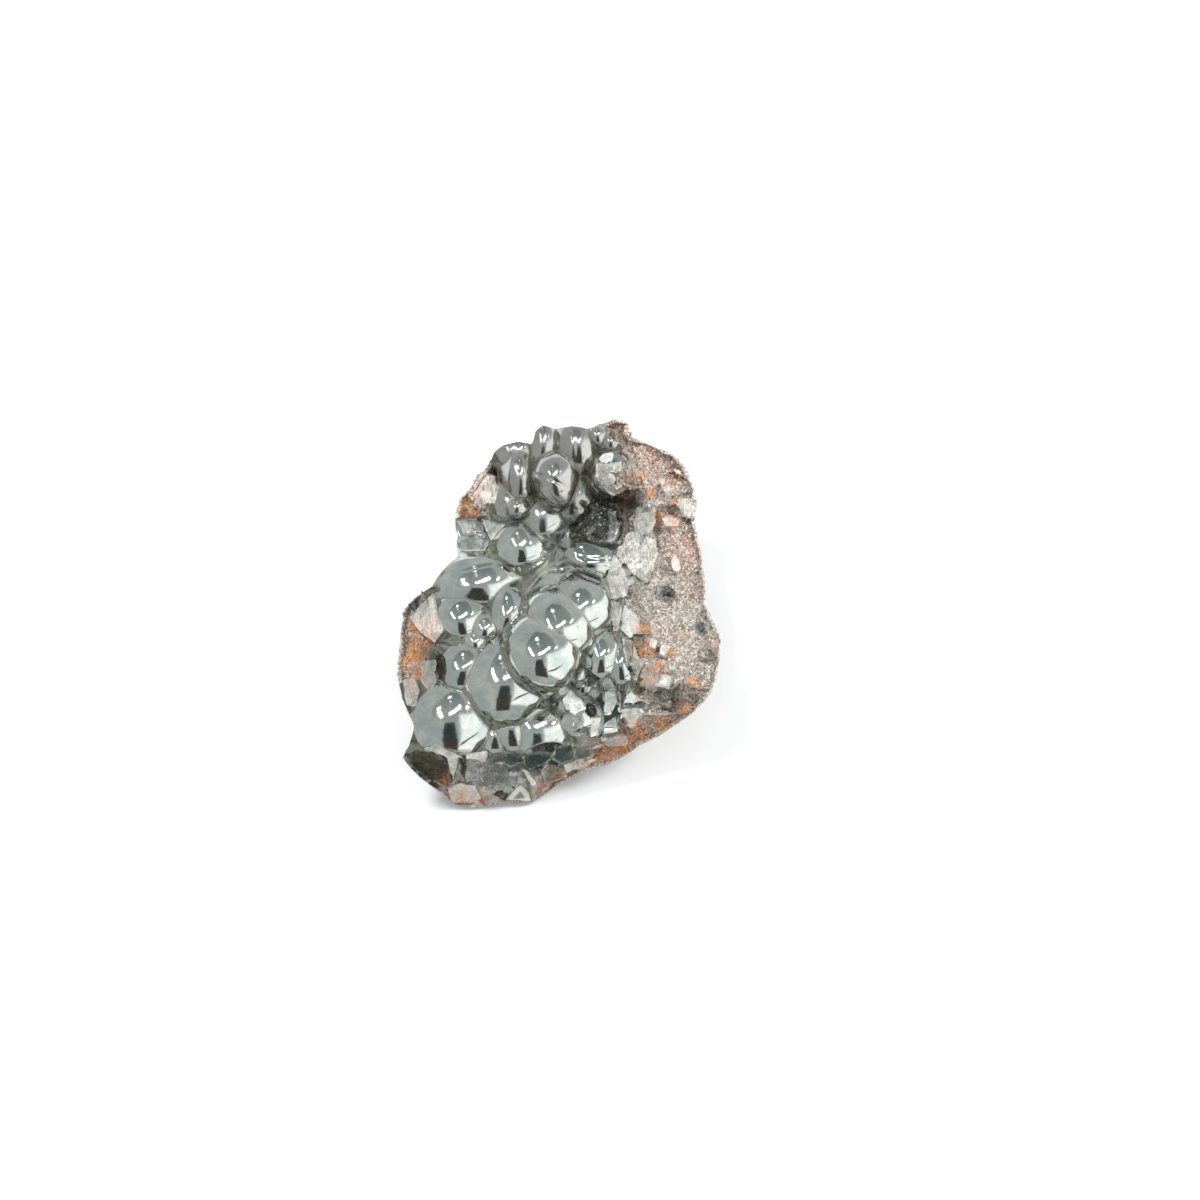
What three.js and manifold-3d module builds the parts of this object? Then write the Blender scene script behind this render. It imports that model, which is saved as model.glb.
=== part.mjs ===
// Botryoidal hematite: a hand specimen, grown and broken as one piece of stone.
// Millimetres, +Z up, resting on a flat break at Z = 0, origin at the middle of its footprint.
//
// The grown face is set out in plan: a runs to the right, b up the face towards its far edge,
// and each level is a height above the face, measured square to the plan. Angles run from +a to +b.
import * as THREE from 'three';
import { mergeVertices } from 'three/addons/utils/BufferGeometryUtils.js';
import Module from 'manifold-3d';

const wasm = await Module();
wasm.setup();

// ---- driving dimensions -------------------------------------------------------------------

const PLAN_LEAN = THREE.MathUtils.degToRad(25);   // the plan leans this far forward of level
const FACE_FALL = Math.tan(THREE.MathUtils.degToRad(13)); // the face drops this much per mm of b
const FACE_CENTRE = new THREE.Vector3(0.29, -4.9, 22);   // where a = b = level = 0 stands
const SAG = { depth: 6.5, from: -16, to: 20 };   // the face bends away towards its far end

const CREASE_LEVEL = -1.4;      // floor of the creases between the domes
const RIM_BAND = 0.2;           // outer share of the face that runs down to the rim
const PLATEAU_LEVEL = 3.2;      // broken granular ground on the right, above the creases
const PLATEAU_STEP = { from: -1.6, to: 3.0 };    // the slope that climbs to it, about its edge
const LOWER_STEP = { b: -15, drop: 1.3, width: 1.2 };     // ledge across the plateau

// The rim seen in plan, clockwise from the far left: [a, b, level].
const RIM = [
  [-13.6, 33.0, -1.5], [-11.8, 34.4, -1.5], [-8.6, 35.2, -1.5], [-5.6, 34.6, -1.0],
  [-5.2, 37.4, -0.6], [-3.6, 38.6, -0.4], [-1.0, 37.8, -0.4], [2.4, 38.4, 0.0],
  [5.6, 37.8, 0.4], [11.2, 39.8, 1.6], [14.0, 39.0, 1.8], [14.2, 36.2, 1.6],
  [19.4, 34.0, 1.6], [23.2, 32.4, 1.4], [25.4, 30.2, 1.2], [27.0, 26.4, 0.8],
  [27.8, 22.6, 0.6], [27.0, 19.2, 0.4], [27.8, 15.4, 0.4], [29.0, 8.8, 0.4],
  [29.2, 2.2, 0.2], [30.6, -1.0, -0.4], [32.2, -5.0, -0.8], [32.0, -8.2, -0.6],
  [31.4, -12.0, -0.4], [30.4, -15.4, -0.4], [27.6, -18.6, -0.6], [23.2, -22.0, -1.0],
  [16.0, -26.2, -2.2], [9.6, -30.2, -5.0], [4.6, -31.2, -8.6], [-1.0, -34.6, -11.2],
  [-5.2, -37.8, -12.8], [-11.4, -38.0, -13.0], [-17.4, -39.0, -13.4], [-21.2, -38.4, -13.2],
  [-23.4, -36.2, -12.4], [-27.8, -32.8, -11.0], [-31.6, -28.4, -8.6], [-29.4, -25.2, -4.2],
  [-28.8, -22.0, -2.6], [-31.6, -16.8, -5.4], [-32.8, -12.0, -6.2], [-32.4, -6.6, -6.4],
  [-31.8, -1.0, -6.2], [-32.0, 0.4, -5.6], [-29.6, 3.2, -4.2], [-25.8, 5.6, -2.6],
  [-25.0, 7.2, -1.6], [-22.4, 10.2, -1.4], [-20.6, 11.6, -1.8], [-21.2, 16.4, -2.2],
  [-21.4, 20.8, -2.2], [-20.6, 23.6, -2.0], [-18.0, 25.8, -1.6], [-15.8, 29.0, -1.4],
  [-14.0, 31.8, -1.4],
];

// Inner edge of the plateau, from its far end to its near end: [a, b].
const PLATEAU_EDGE = [
  [9.0, 40.0], [12.4, 33.0], [14.0, 23.0], [14.4, 18.0], [13.2, 11.0], [14.6, 3.0],
  [15.4, -5.0], [16.2, -15.0], [13.0, -24.0], [8.0, -31.0],
];

// Broad swells and sags of the broken ground: [a, b, radius, rise].
const SWELLS = [
  [22.0, 24.0, 7.0, 0.9], [23.0, 8.0, 8.0, 0.8], [25.0, -8.0, 6.0, 0.7], [20.0, 18.0, 2.6, -1.4],
  [12.0, 38.0, 2.6, 1.0], [-17.0, 24.0, 4.6, 3.0], [-28.0, -4.0, 7.0, -1.4],
  [9.0, 19.0, 5.0, -0.8], [22.5, 22.0, 2.2, 0.9], [26.0, 14.0, 3.0, 0.6], [18.6, -10.5, 2.4, 0.6],
];

// Grown domes: [a, b, half width, half length, turn, top level, half depth].
const DOMES = {
  ball_neighbour: [2.4, 23.2, 4.0, 4.6, 0, 3.6, 4.4],
  column: [-8.2, 27.6, 2.6, 4.4, 0, 4.2, 3.4],
  bead_seat: [-9.4, 22.4, 4.0, 3.6, 0, 3.0, 3.6],
  lobe_below_ball: [-3.6, 19.4, 3.8, 3.8, 0, 3.4, 4.0],
  oval_lobe: [-8.2, 13.9, 5.0, 4.4, 0, 4.6, 5.2],
  far_swell: [-9.2, 32.6, 4.0, 3.2, 0, 2.0, 3.4],
  far_thumb: [-3.6, 34.4, 2.6, 4.2, 0, 2.8, 3.2],
  far_fluted: [2.9, 33.8, 3.6, 4.4, 0, 4.0, 3.8],
  far_pea: [7.7, 36.0, 1.6, 1.6, 0, 3.0, 1.6],
  far_pea_low: [10.4, 35.0, 1.6, 1.6, 0, 3.2, 1.6],
  pit_floor: [7.6, 18.2, 4.6, 4.2, 0, 0.4, 3.0],
  pit_floor_low: [2.8, 15.6, 3.0, 2.6, 0, 0.2, 2.4],
  shell_inner: [1.4, 1.4, 8.2, 8.6, 0, 5.6, 7.6],
  shell_outer: [1.0, 1.6, 8.6, 9.6, 0, 4.4, 7.6],
  shell_back: [6.0, 11.2, 5.0, 3.6, -12, 2.0, 3.2],
  left_broad: [-16.8, 6.8, 7.0, 4.8, 6, 3.8, 4.8],
  left_middle: [-20.0, -0.2, 4.8, 4.4, 0, 3.2, 4.4],
  pea_upper: [-14.8, -2.2, 2.8, 2.6, 0, 2.9, 2.6],
  pea_lower: [-17.0, -5.0, 2.4, 2.2, 0, 2.2, 2.3],
  wedge_dome: [-10.6, 1.2, 3.4, 4.8, 0, 4.0, 3.8],
  left_low: [-19.2, -10.6, 4.6, 5.0, 0, 3.0, 4.4],
  great_left: [-11.0, -13.6, 7.6, 8.4, 0, 5.6, 7.8],
  corner_dome: [-22.0, -22.1, 7.8, 8.0, 0, 4.0, 7.4],
  near_a: [-13.0, -24.8, 3.2, 3.4, 0, 0.9, 3.4],
  near_b: [-9.8, -23.4, 4.0, 4.0, 0, 1.6, 3.8],
  near_c: [-4.4, -23.8, 5.6, 5.2, 0, 1.8, 4.6],
  near_d: [3.6, -20.8, 3.8, 4.0, 0, 1.6, 3.7],
  near_e: [1.6, -17.2, 2.6, 2.8, 0, 1.5, 2.6],
  dark_knob: [4.8, -14.6, 1.7, 1.7, 0, 1.8, 1.7],
  right_low: [8.2, -7.8, 3.8, 5.0, 0, 3.8, 4.2],
  right_low_side: [12.0, -9.8, 3.0, 4.0, 0, 3.0, 3.3],
};
const DOME_SHOULDER = 0.86;     // share of a dome's reach where its cap turns into a straight skirt
const DOME_SPREAD = 1.22;       // a dome is this much wider than its neighbours leave in view

// Round balls that stand clear of their neighbours, laid out as the domes are.
const BALLS = {
  upper_ball: [-1.1, 26.9, 4.7, 5.9, 8, 8.2, 5.4],
  bead: [-8.6, 21.4, 2.4, 2.4, 0, 4.2, 2.4],
  broken_dome: [10.4, 28.4, 4.8, 5.2, 0, 5.2, 4.4],
  great_ball: [-3.9, -7.6, 7.5, 8.4, 20, 10.8, 7.7],
  great_crown: [-0.2, -1.6, 7.0, 7.0, 0, 9.6, 7.0],
  great_shoulder: [4.0, 2.0, 6.6, 7.0, 0, 8.2, 6.8],
  end_knob: [30.0, -5.4, 2.0, 2.3, 0, 1.4, 2.2],
};
const BALL_SHOULDER = 0.97;
const SKIRT_FOOT = -5;          // level that every skirt goes down to, inside the rock

// Flat broken chips that stand up: [a, b, half width, half length, turn, sides, level, faces, slope].
const CHIPS = {
  silver_tip: [-13.8, 17.4, 2.0, 2.2, 180, 3, 1.2, 90, 0.2],
  round_break: [-14.6, 25.4, 2.0, 3.4, 0, 8, 1.2, 180, 0.2],
  gem_facet: [10.6, -24.4, 2.7, 2.4, 0, 6, 0.2, 270, 0.3],
  grey_facet: [2.6, -17.0, 1.8, 2.3, 0, 5, 1.6, 60, 0.2],
  lower_facet: [14.8, -17.0, 1.9, 1.9, 45, 4, 0.8, 200, 0.3],
  lower_facet_side: [14.4, -20.4, 2.6, 1.7, 0, 5, 0.4, 240, 0.3],
  pale_facet: [13.8, -1.8, 1.9, 3.2, 0, 6, 0.3, 180, 0.6],
  pale_plane: [12.0, 7.2, 2.3, 4.4, 0, 6, 0.0, 180, 0.5],
  fibrous_break: [15.4, 12.2, 4.4, 4.6, 0, 6, 1.4, 180, 0.5],
  far_facet: [16.8, 18.6, 2.6, 2.8, 0, 6, 1.8, 160, 0.45],
  green_wedge: [15.0, -9.4, 1.5, 4.8, 8, 5, 0.6, 180, 0.6],
  white_break: [-28.0, 0.2, 2.4, 3.4, -20, 4, -2.6, 200, 0.3],
  shell_facet: [-29.6, -15.4, 2.0, 2.8, 0, 5, -4.2, 210, 0.5],
  teal_facet: [-26.2, -11.8, 1.9, 2.8, 0, 5, -2.6, 180, 0.3],
  far_knob: [11.2, 37.2, 2.6, 1.8, 0, 6, 2.6, 90, 0.2],
};
const CHIP_DEPTH = 5.0;         // how far a chip goes down into the rock
const CHIP_FLARE = 1.2;         // a chip is this much wider at its foot, in mm

// Breaks that shear the near side: [a, b, level] of a point on the upper edge, way it faces, slope.
const BREAKS = {
  near_left: [-26.6, -28.6, 0.8, 232, 1.3],
  near_middle: [-18.0, -29.0, 0.6, 263, 1.45],
  near_front: [-10.0, -28.6, -0.6, 276, 1.4],
  near_right: [-2.0, -27.0, -0.8, 285, 1.4],
  near_rim: [16.0, -23.6, 1.8, 298, 1.7],
};

// Shell-shaped hollows: [a, b, level of the mouth, mouth radius, depth, way it faces, slope].
const SCOOPS = {
  left_hollow: [-29.0, 2.2, -4.0, 2.2, 1.4, 0, 0],
  dark_bowl: [8.3, -17.8, 0.6, 2.9, 1.2, 250, 0.1],
  plateau_recess: [22.4, -18.8, 2.0, 1.8, 1.2, 270, 0.4],
  plateau_pore: [21.4, 4.8, 4.8, 0.9, 0.8, 0, 0],
  olive_lens: [23.0, 20.8, 4.9, 1.5, 0.7, 0, 0],
  knob_gap: [28.4, -2.6, 1.6, 1.1, 1.4, 180, 0.2],
  knob_gap_low: [30.2, -8.2, 1.0, 1.1, 1.2, 200, 0.2],
  near_bowl: [-13.2, -32.0, -4.4, 3.0, 0.9, 265, 1.4],
  near_lens: [-11.0, -29.2, -1.4, 2.8, 0.8, 275, 1.3],
  near_lens_right: [-4.6, -29.2, -2.9, 2.8, 0.8, 285, 1.4],
  near_red_bowl: [-1.4, -32.2, -7.6, 2.2, 0.7, 290, 1.4],
  near_olive: [-26.6, -30.6, -2.6, 4.4, 1.0, 232, 1.3],
};

// Steep breaks round the sides: [bearing, reach at the foot, reach at SIDE_HEIGHT].
const SIDE_BREAKS = {
  right: [2, 21.5, 37.5],
  near_right: [-38, 22.4, 43.0],
  near: [-78, 28.7, 48.2],
  near_left: [-128, 36.6, 55.5],
  left: [178, 26.5, 37.2],
  far_left: [140, 22, 32.2],
  far_left_corner: [112, 26, 36.2],
  far: [88, 27.5, 37.2],
  far_right: [54, 26.5, 38.2],
  right_far: [24, 23.5, 35.8],
};
const SIDE_HEIGHT = 24;
const FOOT_SHARE = 0.93;        // the sides draw in to this share of the rim on their way down

// Facets: a dome's count around and down its cap grow with its half width in mm.
const DOME_FACETS = { around: 8, aroundPerMm: 0.8, down: 2.5, downPerMm: 0.35 };
const SCOOP_FACETS = { around: 14, down: 12 };
const ROCK_FACETS = { around: 60, face: 10, side: 4, base: 2 };

const STONE = { colour: 0x7d817c, roughness: 0.32, metalness: 0.75 };

// ---- plan, rim and ground ----------------------------------------------------------------

const RIM_BY_BEARING = RIM
  .map(([a, b, level]) => ({ bearing: Math.atan2(b, a), reach: Math.hypot(a, b), level }))
  .sort((p, q) => p.bearing - q.bearing);

// Reach and level of the rim at a bearing from the middle of the face.
function rimAt(bearing) {
  const count = RIM_BY_BEARING.length;
  let next = RIM_BY_BEARING.findIndex((p) => p.bearing > bearing);
  if (next < 0) next = count;
  const after = RIM_BY_BEARING[next % count];
  const before = RIM_BY_BEARING[(next - 1 + count) % count];
  const turn = 2 * Math.PI;
  const span = (after.bearing - before.bearing + turn) % turn;
  const share = ((bearing - before.bearing + turn) % turn) / span;
  return {
    reach: THREE.MathUtils.lerp(before.reach, after.reach, share),
    level: THREE.MathUtils.lerp(before.level, after.level, share),
  };
}

// How far a point lies inside the plateau's inner edge, in mm.
function insidePlateau(a, b) {
  const edge = PLATEAU_EDGE;
  const held = THREE.MathUtils.clamp(b, edge[edge.length - 1][1], edge[0][1]);
  const next = Math.max(1, edge.findIndex((p) => p[1] <= held));
  const [a0, b0] = edge[next - 1];
  const [a1, b1] = edge[next];
  return a - THREE.MathUtils.lerp(a0, a1, (b0 - held) / (b0 - b1));
}

// Level of the broken ground under and around the domes.
function groundLevel(a, b) {
  const smooth = THREE.MathUtils.smoothstep;
  let level = CREASE_LEVEL;
  const inside = smooth(insidePlateau(a, b), PLATEAU_STEP.from, PLATEAU_STEP.to);
  const below = smooth(LOWER_STEP.b - b, 0, LOWER_STEP.width);
  level += inside * (PLATEAU_LEVEL - CREASE_LEVEL - below * LOWER_STEP.drop);
  for (const [a0, b0, radius, rise] of SWELLS) {
    level += rise * Math.exp(-((a - a0) ** 2 + (b - b0) ** 2) / radius ** 2);
  }
  const rim = rimAt(Math.atan2(b, a));
  const out = smooth(Math.hypot(a, b) / rim.reach, 1 - RIM_BAND, 1);
  return THREE.MathUtils.lerp(level, rim.level, out);
}

// How far the bend has lowered the face at b.
function sagAt(b) {
  return SAG.depth * THREE.MathUtils.smoothstep(b, SAG.from, SAG.to);
}

// Plan to world: the face's own fall, the lean of the plan, then its place over the footprint.
const FALL = new THREE.Matrix4().set(1, 0, 0, 0, 0, 1, 0, 0, 0, -FACE_FALL, 1, 0, 0, 0, 0, 1);
const PLAN_TO_WORLD = new THREE.Matrix4()
  .makeTranslation(FACE_CENTRE)
  .multiply(new THREE.Matrix4().makeRotationX(PLAN_LEAN))
  .multiply(FALL);
const WORLD_TO_PLAN = PLAN_TO_WORLD.clone().invert();

// ---- solids -------------------------------------------------------------------------------

// A closed geometry as a solid, with its shared corners merged.
function solid(geometry) {
  geometry.deleteAttribute('normal');
  geometry.deleteAttribute('uv');
  const merged = mergeVertices(geometry, 1e-5);
  return new wasm.Manifold(new wasm.Mesh({
    numProp: 3,
    vertProperties: new Float32Array(merged.attributes.position.array),
    triVerts: new Uint32Array(merged.index.array),
  }));
}

// A sphere whose poles are along the level.
function ball(around, down) {
  return new THREE.SphereGeometry(1, around, down).rotateX(Math.PI / 2);
}

// The rock: rings run from the middle of the face to the rim, down the sides and under the base.
function rock() {
  const rings = ROCK_FACETS;
  const down = rings.face + rings.side + rings.base;
  const geometry = ball(rings.around, down);
  const position = geometry.attributes.position;
  const point = new THREE.Vector3();
  for (let i = 0; i < position.count; i += 1) {
    point.fromBufferAttribute(position, i);
    const ring = Math.round((Math.acos(THREE.MathUtils.clamp(point.z, -1, 1)) / Math.PI) * down);
    const bearing = ring === 0 || ring === down ? 0 : Math.atan2(point.y, point.x);
    const rim = rimAt(bearing);
    const out = Math.min(ring / rings.face, 1);
    point.x = out * rim.reach * Math.cos(bearing);
    point.y = out * rim.reach * Math.sin(bearing);
    point.z = groundLevel(point.x, point.y) - sagAt(point.y);
    if (ring > rings.face) {
      point.applyMatrix4(PLAN_TO_WORLD);
      const fallen = Math.min((ring - rings.face) / rings.side, 1);
      const towardsMiddle = Math.max((ring - rings.face - rings.side) / rings.base, 0);
      const share = THREE.MathUtils.lerp(1, FOOT_SHARE, fallen) * (1 - towardsMiddle);
      point.set(point.x * share, point.y * share, point.z * (1 - fallen));
      point.applyMatrix4(WORLD_TO_PLAN);
    }
    position.setXYZ(i, point.x, point.y, point.z);
  }
  return solid(geometry);
}

// Bends a solid with the face.
function bent(one) {
  return one.warp((point) => {
    point[2] -= sagAt(point[1]);
  });
}

// A bell: a cap of an ellipsoid out to the shoulder, then a straight skirt down into the rock.
function bell([a, b, halfWidth, halfLength, turn, top, halfDepth], shoulder, spread) {
  const around = Math.round(DOME_FACETS.around + halfWidth * DOME_FACETS.aroundPerMm);
  const capRows = Math.round(DOME_FACETS.down + halfWidth * DOME_FACETS.downPerMm);
  const edge = Math.asin(shoulder);
  const profile = [];
  for (let row = 0; row <= capRows; row += 1) {
    const angle = (edge * row) / capRows;
    profile.unshift(new THREE.Vector2(Math.sin(angle), Math.cos(angle) - 1));
  }
  const foot = (SKIRT_FOOT - top) / halfDepth;
  const drop = Math.cos(edge) - 1 - foot;
  profile.unshift(new THREE.Vector2(shoulder + drop / Math.tan(edge), foot));
  profile.unshift(new THREE.Vector2(0, foot));
  const geometry = new THREE.LatheGeometry(profile, around)
    .rotateX(Math.PI / 2)
    .scale(halfWidth * spread, halfLength * spread, halfDepth)
    .rotateZ(THREE.MathUtils.degToRad(turn))
    .translate(a, b, top);
  return solid(geometry);
}

// Tilts a geometry about its origin so that its flat top faces a bearing.
function tilt(geometry, faces, slope) {
  const way = THREE.MathUtils.degToRad(faces);
  const shear = new THREE.Matrix4()
    .set(1, 0, 0, 0, 0, 1, 0, 0, -slope * Math.cos(way), -slope * Math.sin(way), 1, 0, 0, 0, 0, 1);
  return geometry.applyMatrix4(shear);
}

// A chip: a short post with flat sides, flared down into the rock, with a tilted flat top.
function chip([a, b, halfWidth, halfLength, turn, sides, level, faces, slope]) {
  const flare = 1 + CHIP_FLARE / Math.max(halfWidth, halfLength);
  const post = new THREE.CylinderGeometry(1, flare, CHIP_DEPTH, sides)
    .rotateX(Math.PI / 2)
    .translate(0, 0, -CHIP_DEPTH / 2)
    .scale(halfWidth, halfLength, 1)
    .rotateZ(THREE.MathUtils.degToRad(turn));
  return solid(tilt(post, faces, slope).translate(a, b, level));
}

// A break: everything past a tilted plane, as one great block that lies on it.
function breakBlock([a, b, level, faces, slope]) {
  const size = 90;
  const block = new THREE.BoxGeometry(size, size, size).translate(0, 0, size / 2);
  return solid(tilt(block, faces, slope).translate(a, b, level));
}

// A hollow: the ball that leaves a mouth of the given radius and depth in a slope.
function scoop([a, b, level, mouth, depth, faces, slope]) {
  const radius = (mouth ** 2 + depth ** 2) / (2 * depth);
  const way = THREE.MathUtils.degToRad(faces);
  const outward = new THREE.Vector3(slope * Math.cos(way), slope * Math.sin(way), 1)
    .setLength(radius - depth);
  const geometry = ball(SCOOP_FACETS.around, SCOOP_FACETS.down)
    .scale(radius, radius, radius)
    .translate(a + outward.x, b + outward.y, level + outward.z);
  return solid(geometry);
}

// A steep break: everything past a plane whose reach changes from the foot to SIDE_HEIGHT.
function sideBlock([bearing, footReach, highReach]) {
  const size = 120;
  const lean = Math.atan2(highReach - footReach, SIDE_HEIGHT);
  const block = new THREE.BoxGeometry(size, size, size)
    .translate(size / 2, 0, 0)
    .rotateY(lean)
    .translate(footReach, 0, 0)
    .rotateZ(THREE.MathUtils.degToRad(bearing))
    .applyMatrix4(WORLD_TO_PLAN);
  return solid(block);
}

// The column over the rim that holds everything that has grown.
function rimColumn() {
  const height = 60;
  const outline = new THREE.Shape(RIM.map(([a, b]) => new THREE.Vector2(a, b)));
  const column = new THREE.ExtrudeGeometry(outline, { depth: height, bevelEnabled: false });
  return solid(column.translate(0, 0, -height / 2));
}

// Everything grown and broken, joined and cut in plan.
function specimen() {
  const grown = [
    ...Object.values(DOMES).map((row) => bell(row, DOME_SHOULDER, DOME_SPREAD)),
    ...Object.values(BALLS).map((row) => bell(row, BALL_SHOULDER, 1)),
    ...Object.values(CHIPS).map(chip),
  ].reduce((all, one) => all.add(one)).intersect(rimColumn());
  const broken = [
    ...Object.values(BREAKS).map(breakBlock),
    ...Object.values(SIDE_BREAKS).map(sideBlock),
    ...Object.values(SCOOPS).map((row) => bent(scoop(row))),
  ];
  return broken.reduce((stone, cut) => stone.subtract(cut), rock().add(bent(grown)));
}

// The finished solid as a mesh in the world, its resting break exactly at Z = 0.
function hematite() {
  const mesh = specimen().getMesh();
  const geometry = new THREE.BufferGeometry();
  geometry.setAttribute('position', new THREE.BufferAttribute(mesh.vertProperties, mesh.numProp));
  geometry.setIndex(new THREE.BufferAttribute(mesh.triVerts, 1));
  geometry.applyMatrix4(PLAN_TO_WORLD);
  const position = geometry.attributes.position;
  for (let i = 0; i < position.count; i += 1) {
    if (Math.abs(position.getZ(i)) < 1e-3) position.setZ(i, 0);
  }
  const material = new THREE.MeshStandardMaterial({
    color: STONE.colour,
    roughness: STONE.roughness,
    metalness: STONE.metalness,
    flatShading: true,
  });
  const piece = new THREE.Mesh(geometry, material);
  piece.name = 'hematite';
  return piece;
}

const specimenGroup = new THREE.Group();
specimenGroup.add(hematite());

export default specimenGroup;
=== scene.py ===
"""Looks of a hand specimen of botryoidal hematite: mirror-grey grown domes on a broken, rusty matrix.

The stone is one closed surface. Its grown face is a level field over a plan: a runs to the right, b up
the face, and a level is a height above the face. The sides and the resting break hang from its rim.
Lengths in the tables are millimetres, and MM turns them into the frame's metres.
"""

import math

import bpy
import numpy as np
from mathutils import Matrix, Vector


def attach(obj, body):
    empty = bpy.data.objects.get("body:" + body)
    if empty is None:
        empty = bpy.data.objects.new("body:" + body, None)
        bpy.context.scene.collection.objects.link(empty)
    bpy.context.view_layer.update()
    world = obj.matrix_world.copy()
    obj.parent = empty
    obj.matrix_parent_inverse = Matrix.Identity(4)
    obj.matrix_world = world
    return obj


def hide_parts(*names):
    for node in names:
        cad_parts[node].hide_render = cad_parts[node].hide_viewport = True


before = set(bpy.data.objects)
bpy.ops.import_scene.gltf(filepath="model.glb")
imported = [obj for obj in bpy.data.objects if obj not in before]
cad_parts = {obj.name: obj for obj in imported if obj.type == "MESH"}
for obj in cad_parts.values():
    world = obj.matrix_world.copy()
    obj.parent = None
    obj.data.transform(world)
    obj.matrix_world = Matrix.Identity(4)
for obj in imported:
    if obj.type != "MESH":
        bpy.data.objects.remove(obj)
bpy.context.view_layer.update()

MM = 0.001
NODE = "hematite"

# ---- the plan --------------------------------------------------------------------------------

PLAN_LEAN = math.radians(25)
FACE_FALL = math.tan(math.radians(13))
FACE_CENTRE = np.array([0.29, -4.9, 22.0])
SAG = {"depth": 6.5, "from": -16.0, "to": 20.0}     # the face bends away towards its far end
CREASE_LEVEL = -1.4
RIM_BAND = 0.2           # outer share of the reach over which the ground runs to the rim's level
PLATEAU_LEVEL = 3.2
PLATEAU_STEP = (-1.6, 3.0)     # the ledge begins and ends this far right of the plateau's edge
LOWER_STEP = {"b": -15.0, "drop": 1.3, "width": 1.2}     # the plateau is lower below b

# How far outlines stray, at random over a size, and sway, along waves with their own skews and starts.
STRAY = {"reach": 0.25, "size": 2.4, "seeds": (71, 72)}
SWAY = {"reach": 0.22, "wave": 13.0, "skews": (0.6, -0.7), "starts": (1.0, 2.0)}

# The rim in plan, clockwise from the far left: a, b, level.
RIM = [
    (-13.6, 33.0, -1.5), (-11.8, 34.4, -1.5), (-8.6, 35.2, -1.5), (-5.6, 34.6, -1.0),
    (-5.2, 37.4, -0.6), (-3.6, 38.6, -0.4), (-1.0, 37.8, -0.4), (2.4, 38.4, 0.0),
    (5.6, 37.8, 0.4), (11.2, 39.8, 1.6), (14.0, 39.0, 1.8), (14.2, 36.2, 1.6),
    (19.4, 34.0, 1.6), (23.2, 32.4, 1.4), (25.4, 30.2, 1.2), (27.0, 26.4, 0.8),
    (27.8, 22.6, 0.6), (27.0, 19.2, 0.4), (27.8, 15.4, 0.4), (29.0, 8.8, 0.4),
    (29.2, 2.2, 0.2), (30.6, -1.0, -0.4), (32.2, -5.0, -0.8), (32.0, -8.2, -0.6),
    (31.4, -12.0, -0.4), (30.4, -15.4, -0.4), (27.6, -18.6, -0.6), (23.2, -22.0, -1.0),
    (16.0, -26.2, -2.2), (9.6, -30.2, -5.0), (4.6, -31.2, -8.6), (-1.0, -34.6, -11.2),
    (-5.2, -37.8, -12.8), (-11.4, -38.0, -13.0), (-17.4, -39.0, -13.4), (-21.2, -38.4, -13.2),
    (-23.4, -36.2, -12.4), (-27.8, -32.8, -11.0), (-31.6, -28.4, -8.6), (-29.4, -25.2, -4.2),
    (-28.8, -22.0, -2.6), (-31.6, -16.8, -5.4), (-32.8, -12.0, -6.2), (-32.4, -6.6, -6.4),
    (-31.8, -1.0, -6.2), (-32.0, 0.4, -5.6), (-29.6, 3.2, -4.2), (-25.8, 5.6, -2.6),
    (-25.0, 7.2, -1.6), (-22.4, 10.2, -1.4), (-20.6, 11.6, -1.8), (-21.2, 16.4, -2.2),
    (-21.4, 20.8, -2.2), (-20.6, 23.6, -2.0), (-18.0, 25.8, -1.6), (-15.8, 29.0, -1.4),
    (-14.0, 31.8, -1.4),
]

# Inner edge of the plateau of broken matrix, from its near end to its far end: a, b.
PLATEAU_EDGE = [
    (8.0, -31.0), (13.0, -24.0), (16.2, -15.0), (15.4, -5.0), (14.6, 3.0), (13.2, 11.0),
    (14.4, 18.0), (14.0, 23.0), (12.4, 33.0), (9.0, 40.0),
]

# Broad swells and sags of the broken ground: a, b, radius, rise.
SWELLS = [
    (22.0, 24.0, 7.0, 0.9), (20.6, 26.4, 2.6, 0.9), (15.4, 30.6, 3.4, 0.9), (23.0, 8.0, 8.0, 0.8),
    (25.0, -8.0, 6.0, 0.7), (20.0, 18.0, 2.6, -1.4), (12.0, 38.0, 2.6, 1.0), (-17.0, 24.0, 4.6, 3.0),
    (-28.0, -4.0, 7.0, -1.4), (9.0, 19.0, 5.0, -0.8), (22.5, 22.0, 2.2, 0.9), (26.0, 14.0, 3.0, 0.6),
    (18.6, -10.5, 2.4, 0.6),
]

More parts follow.
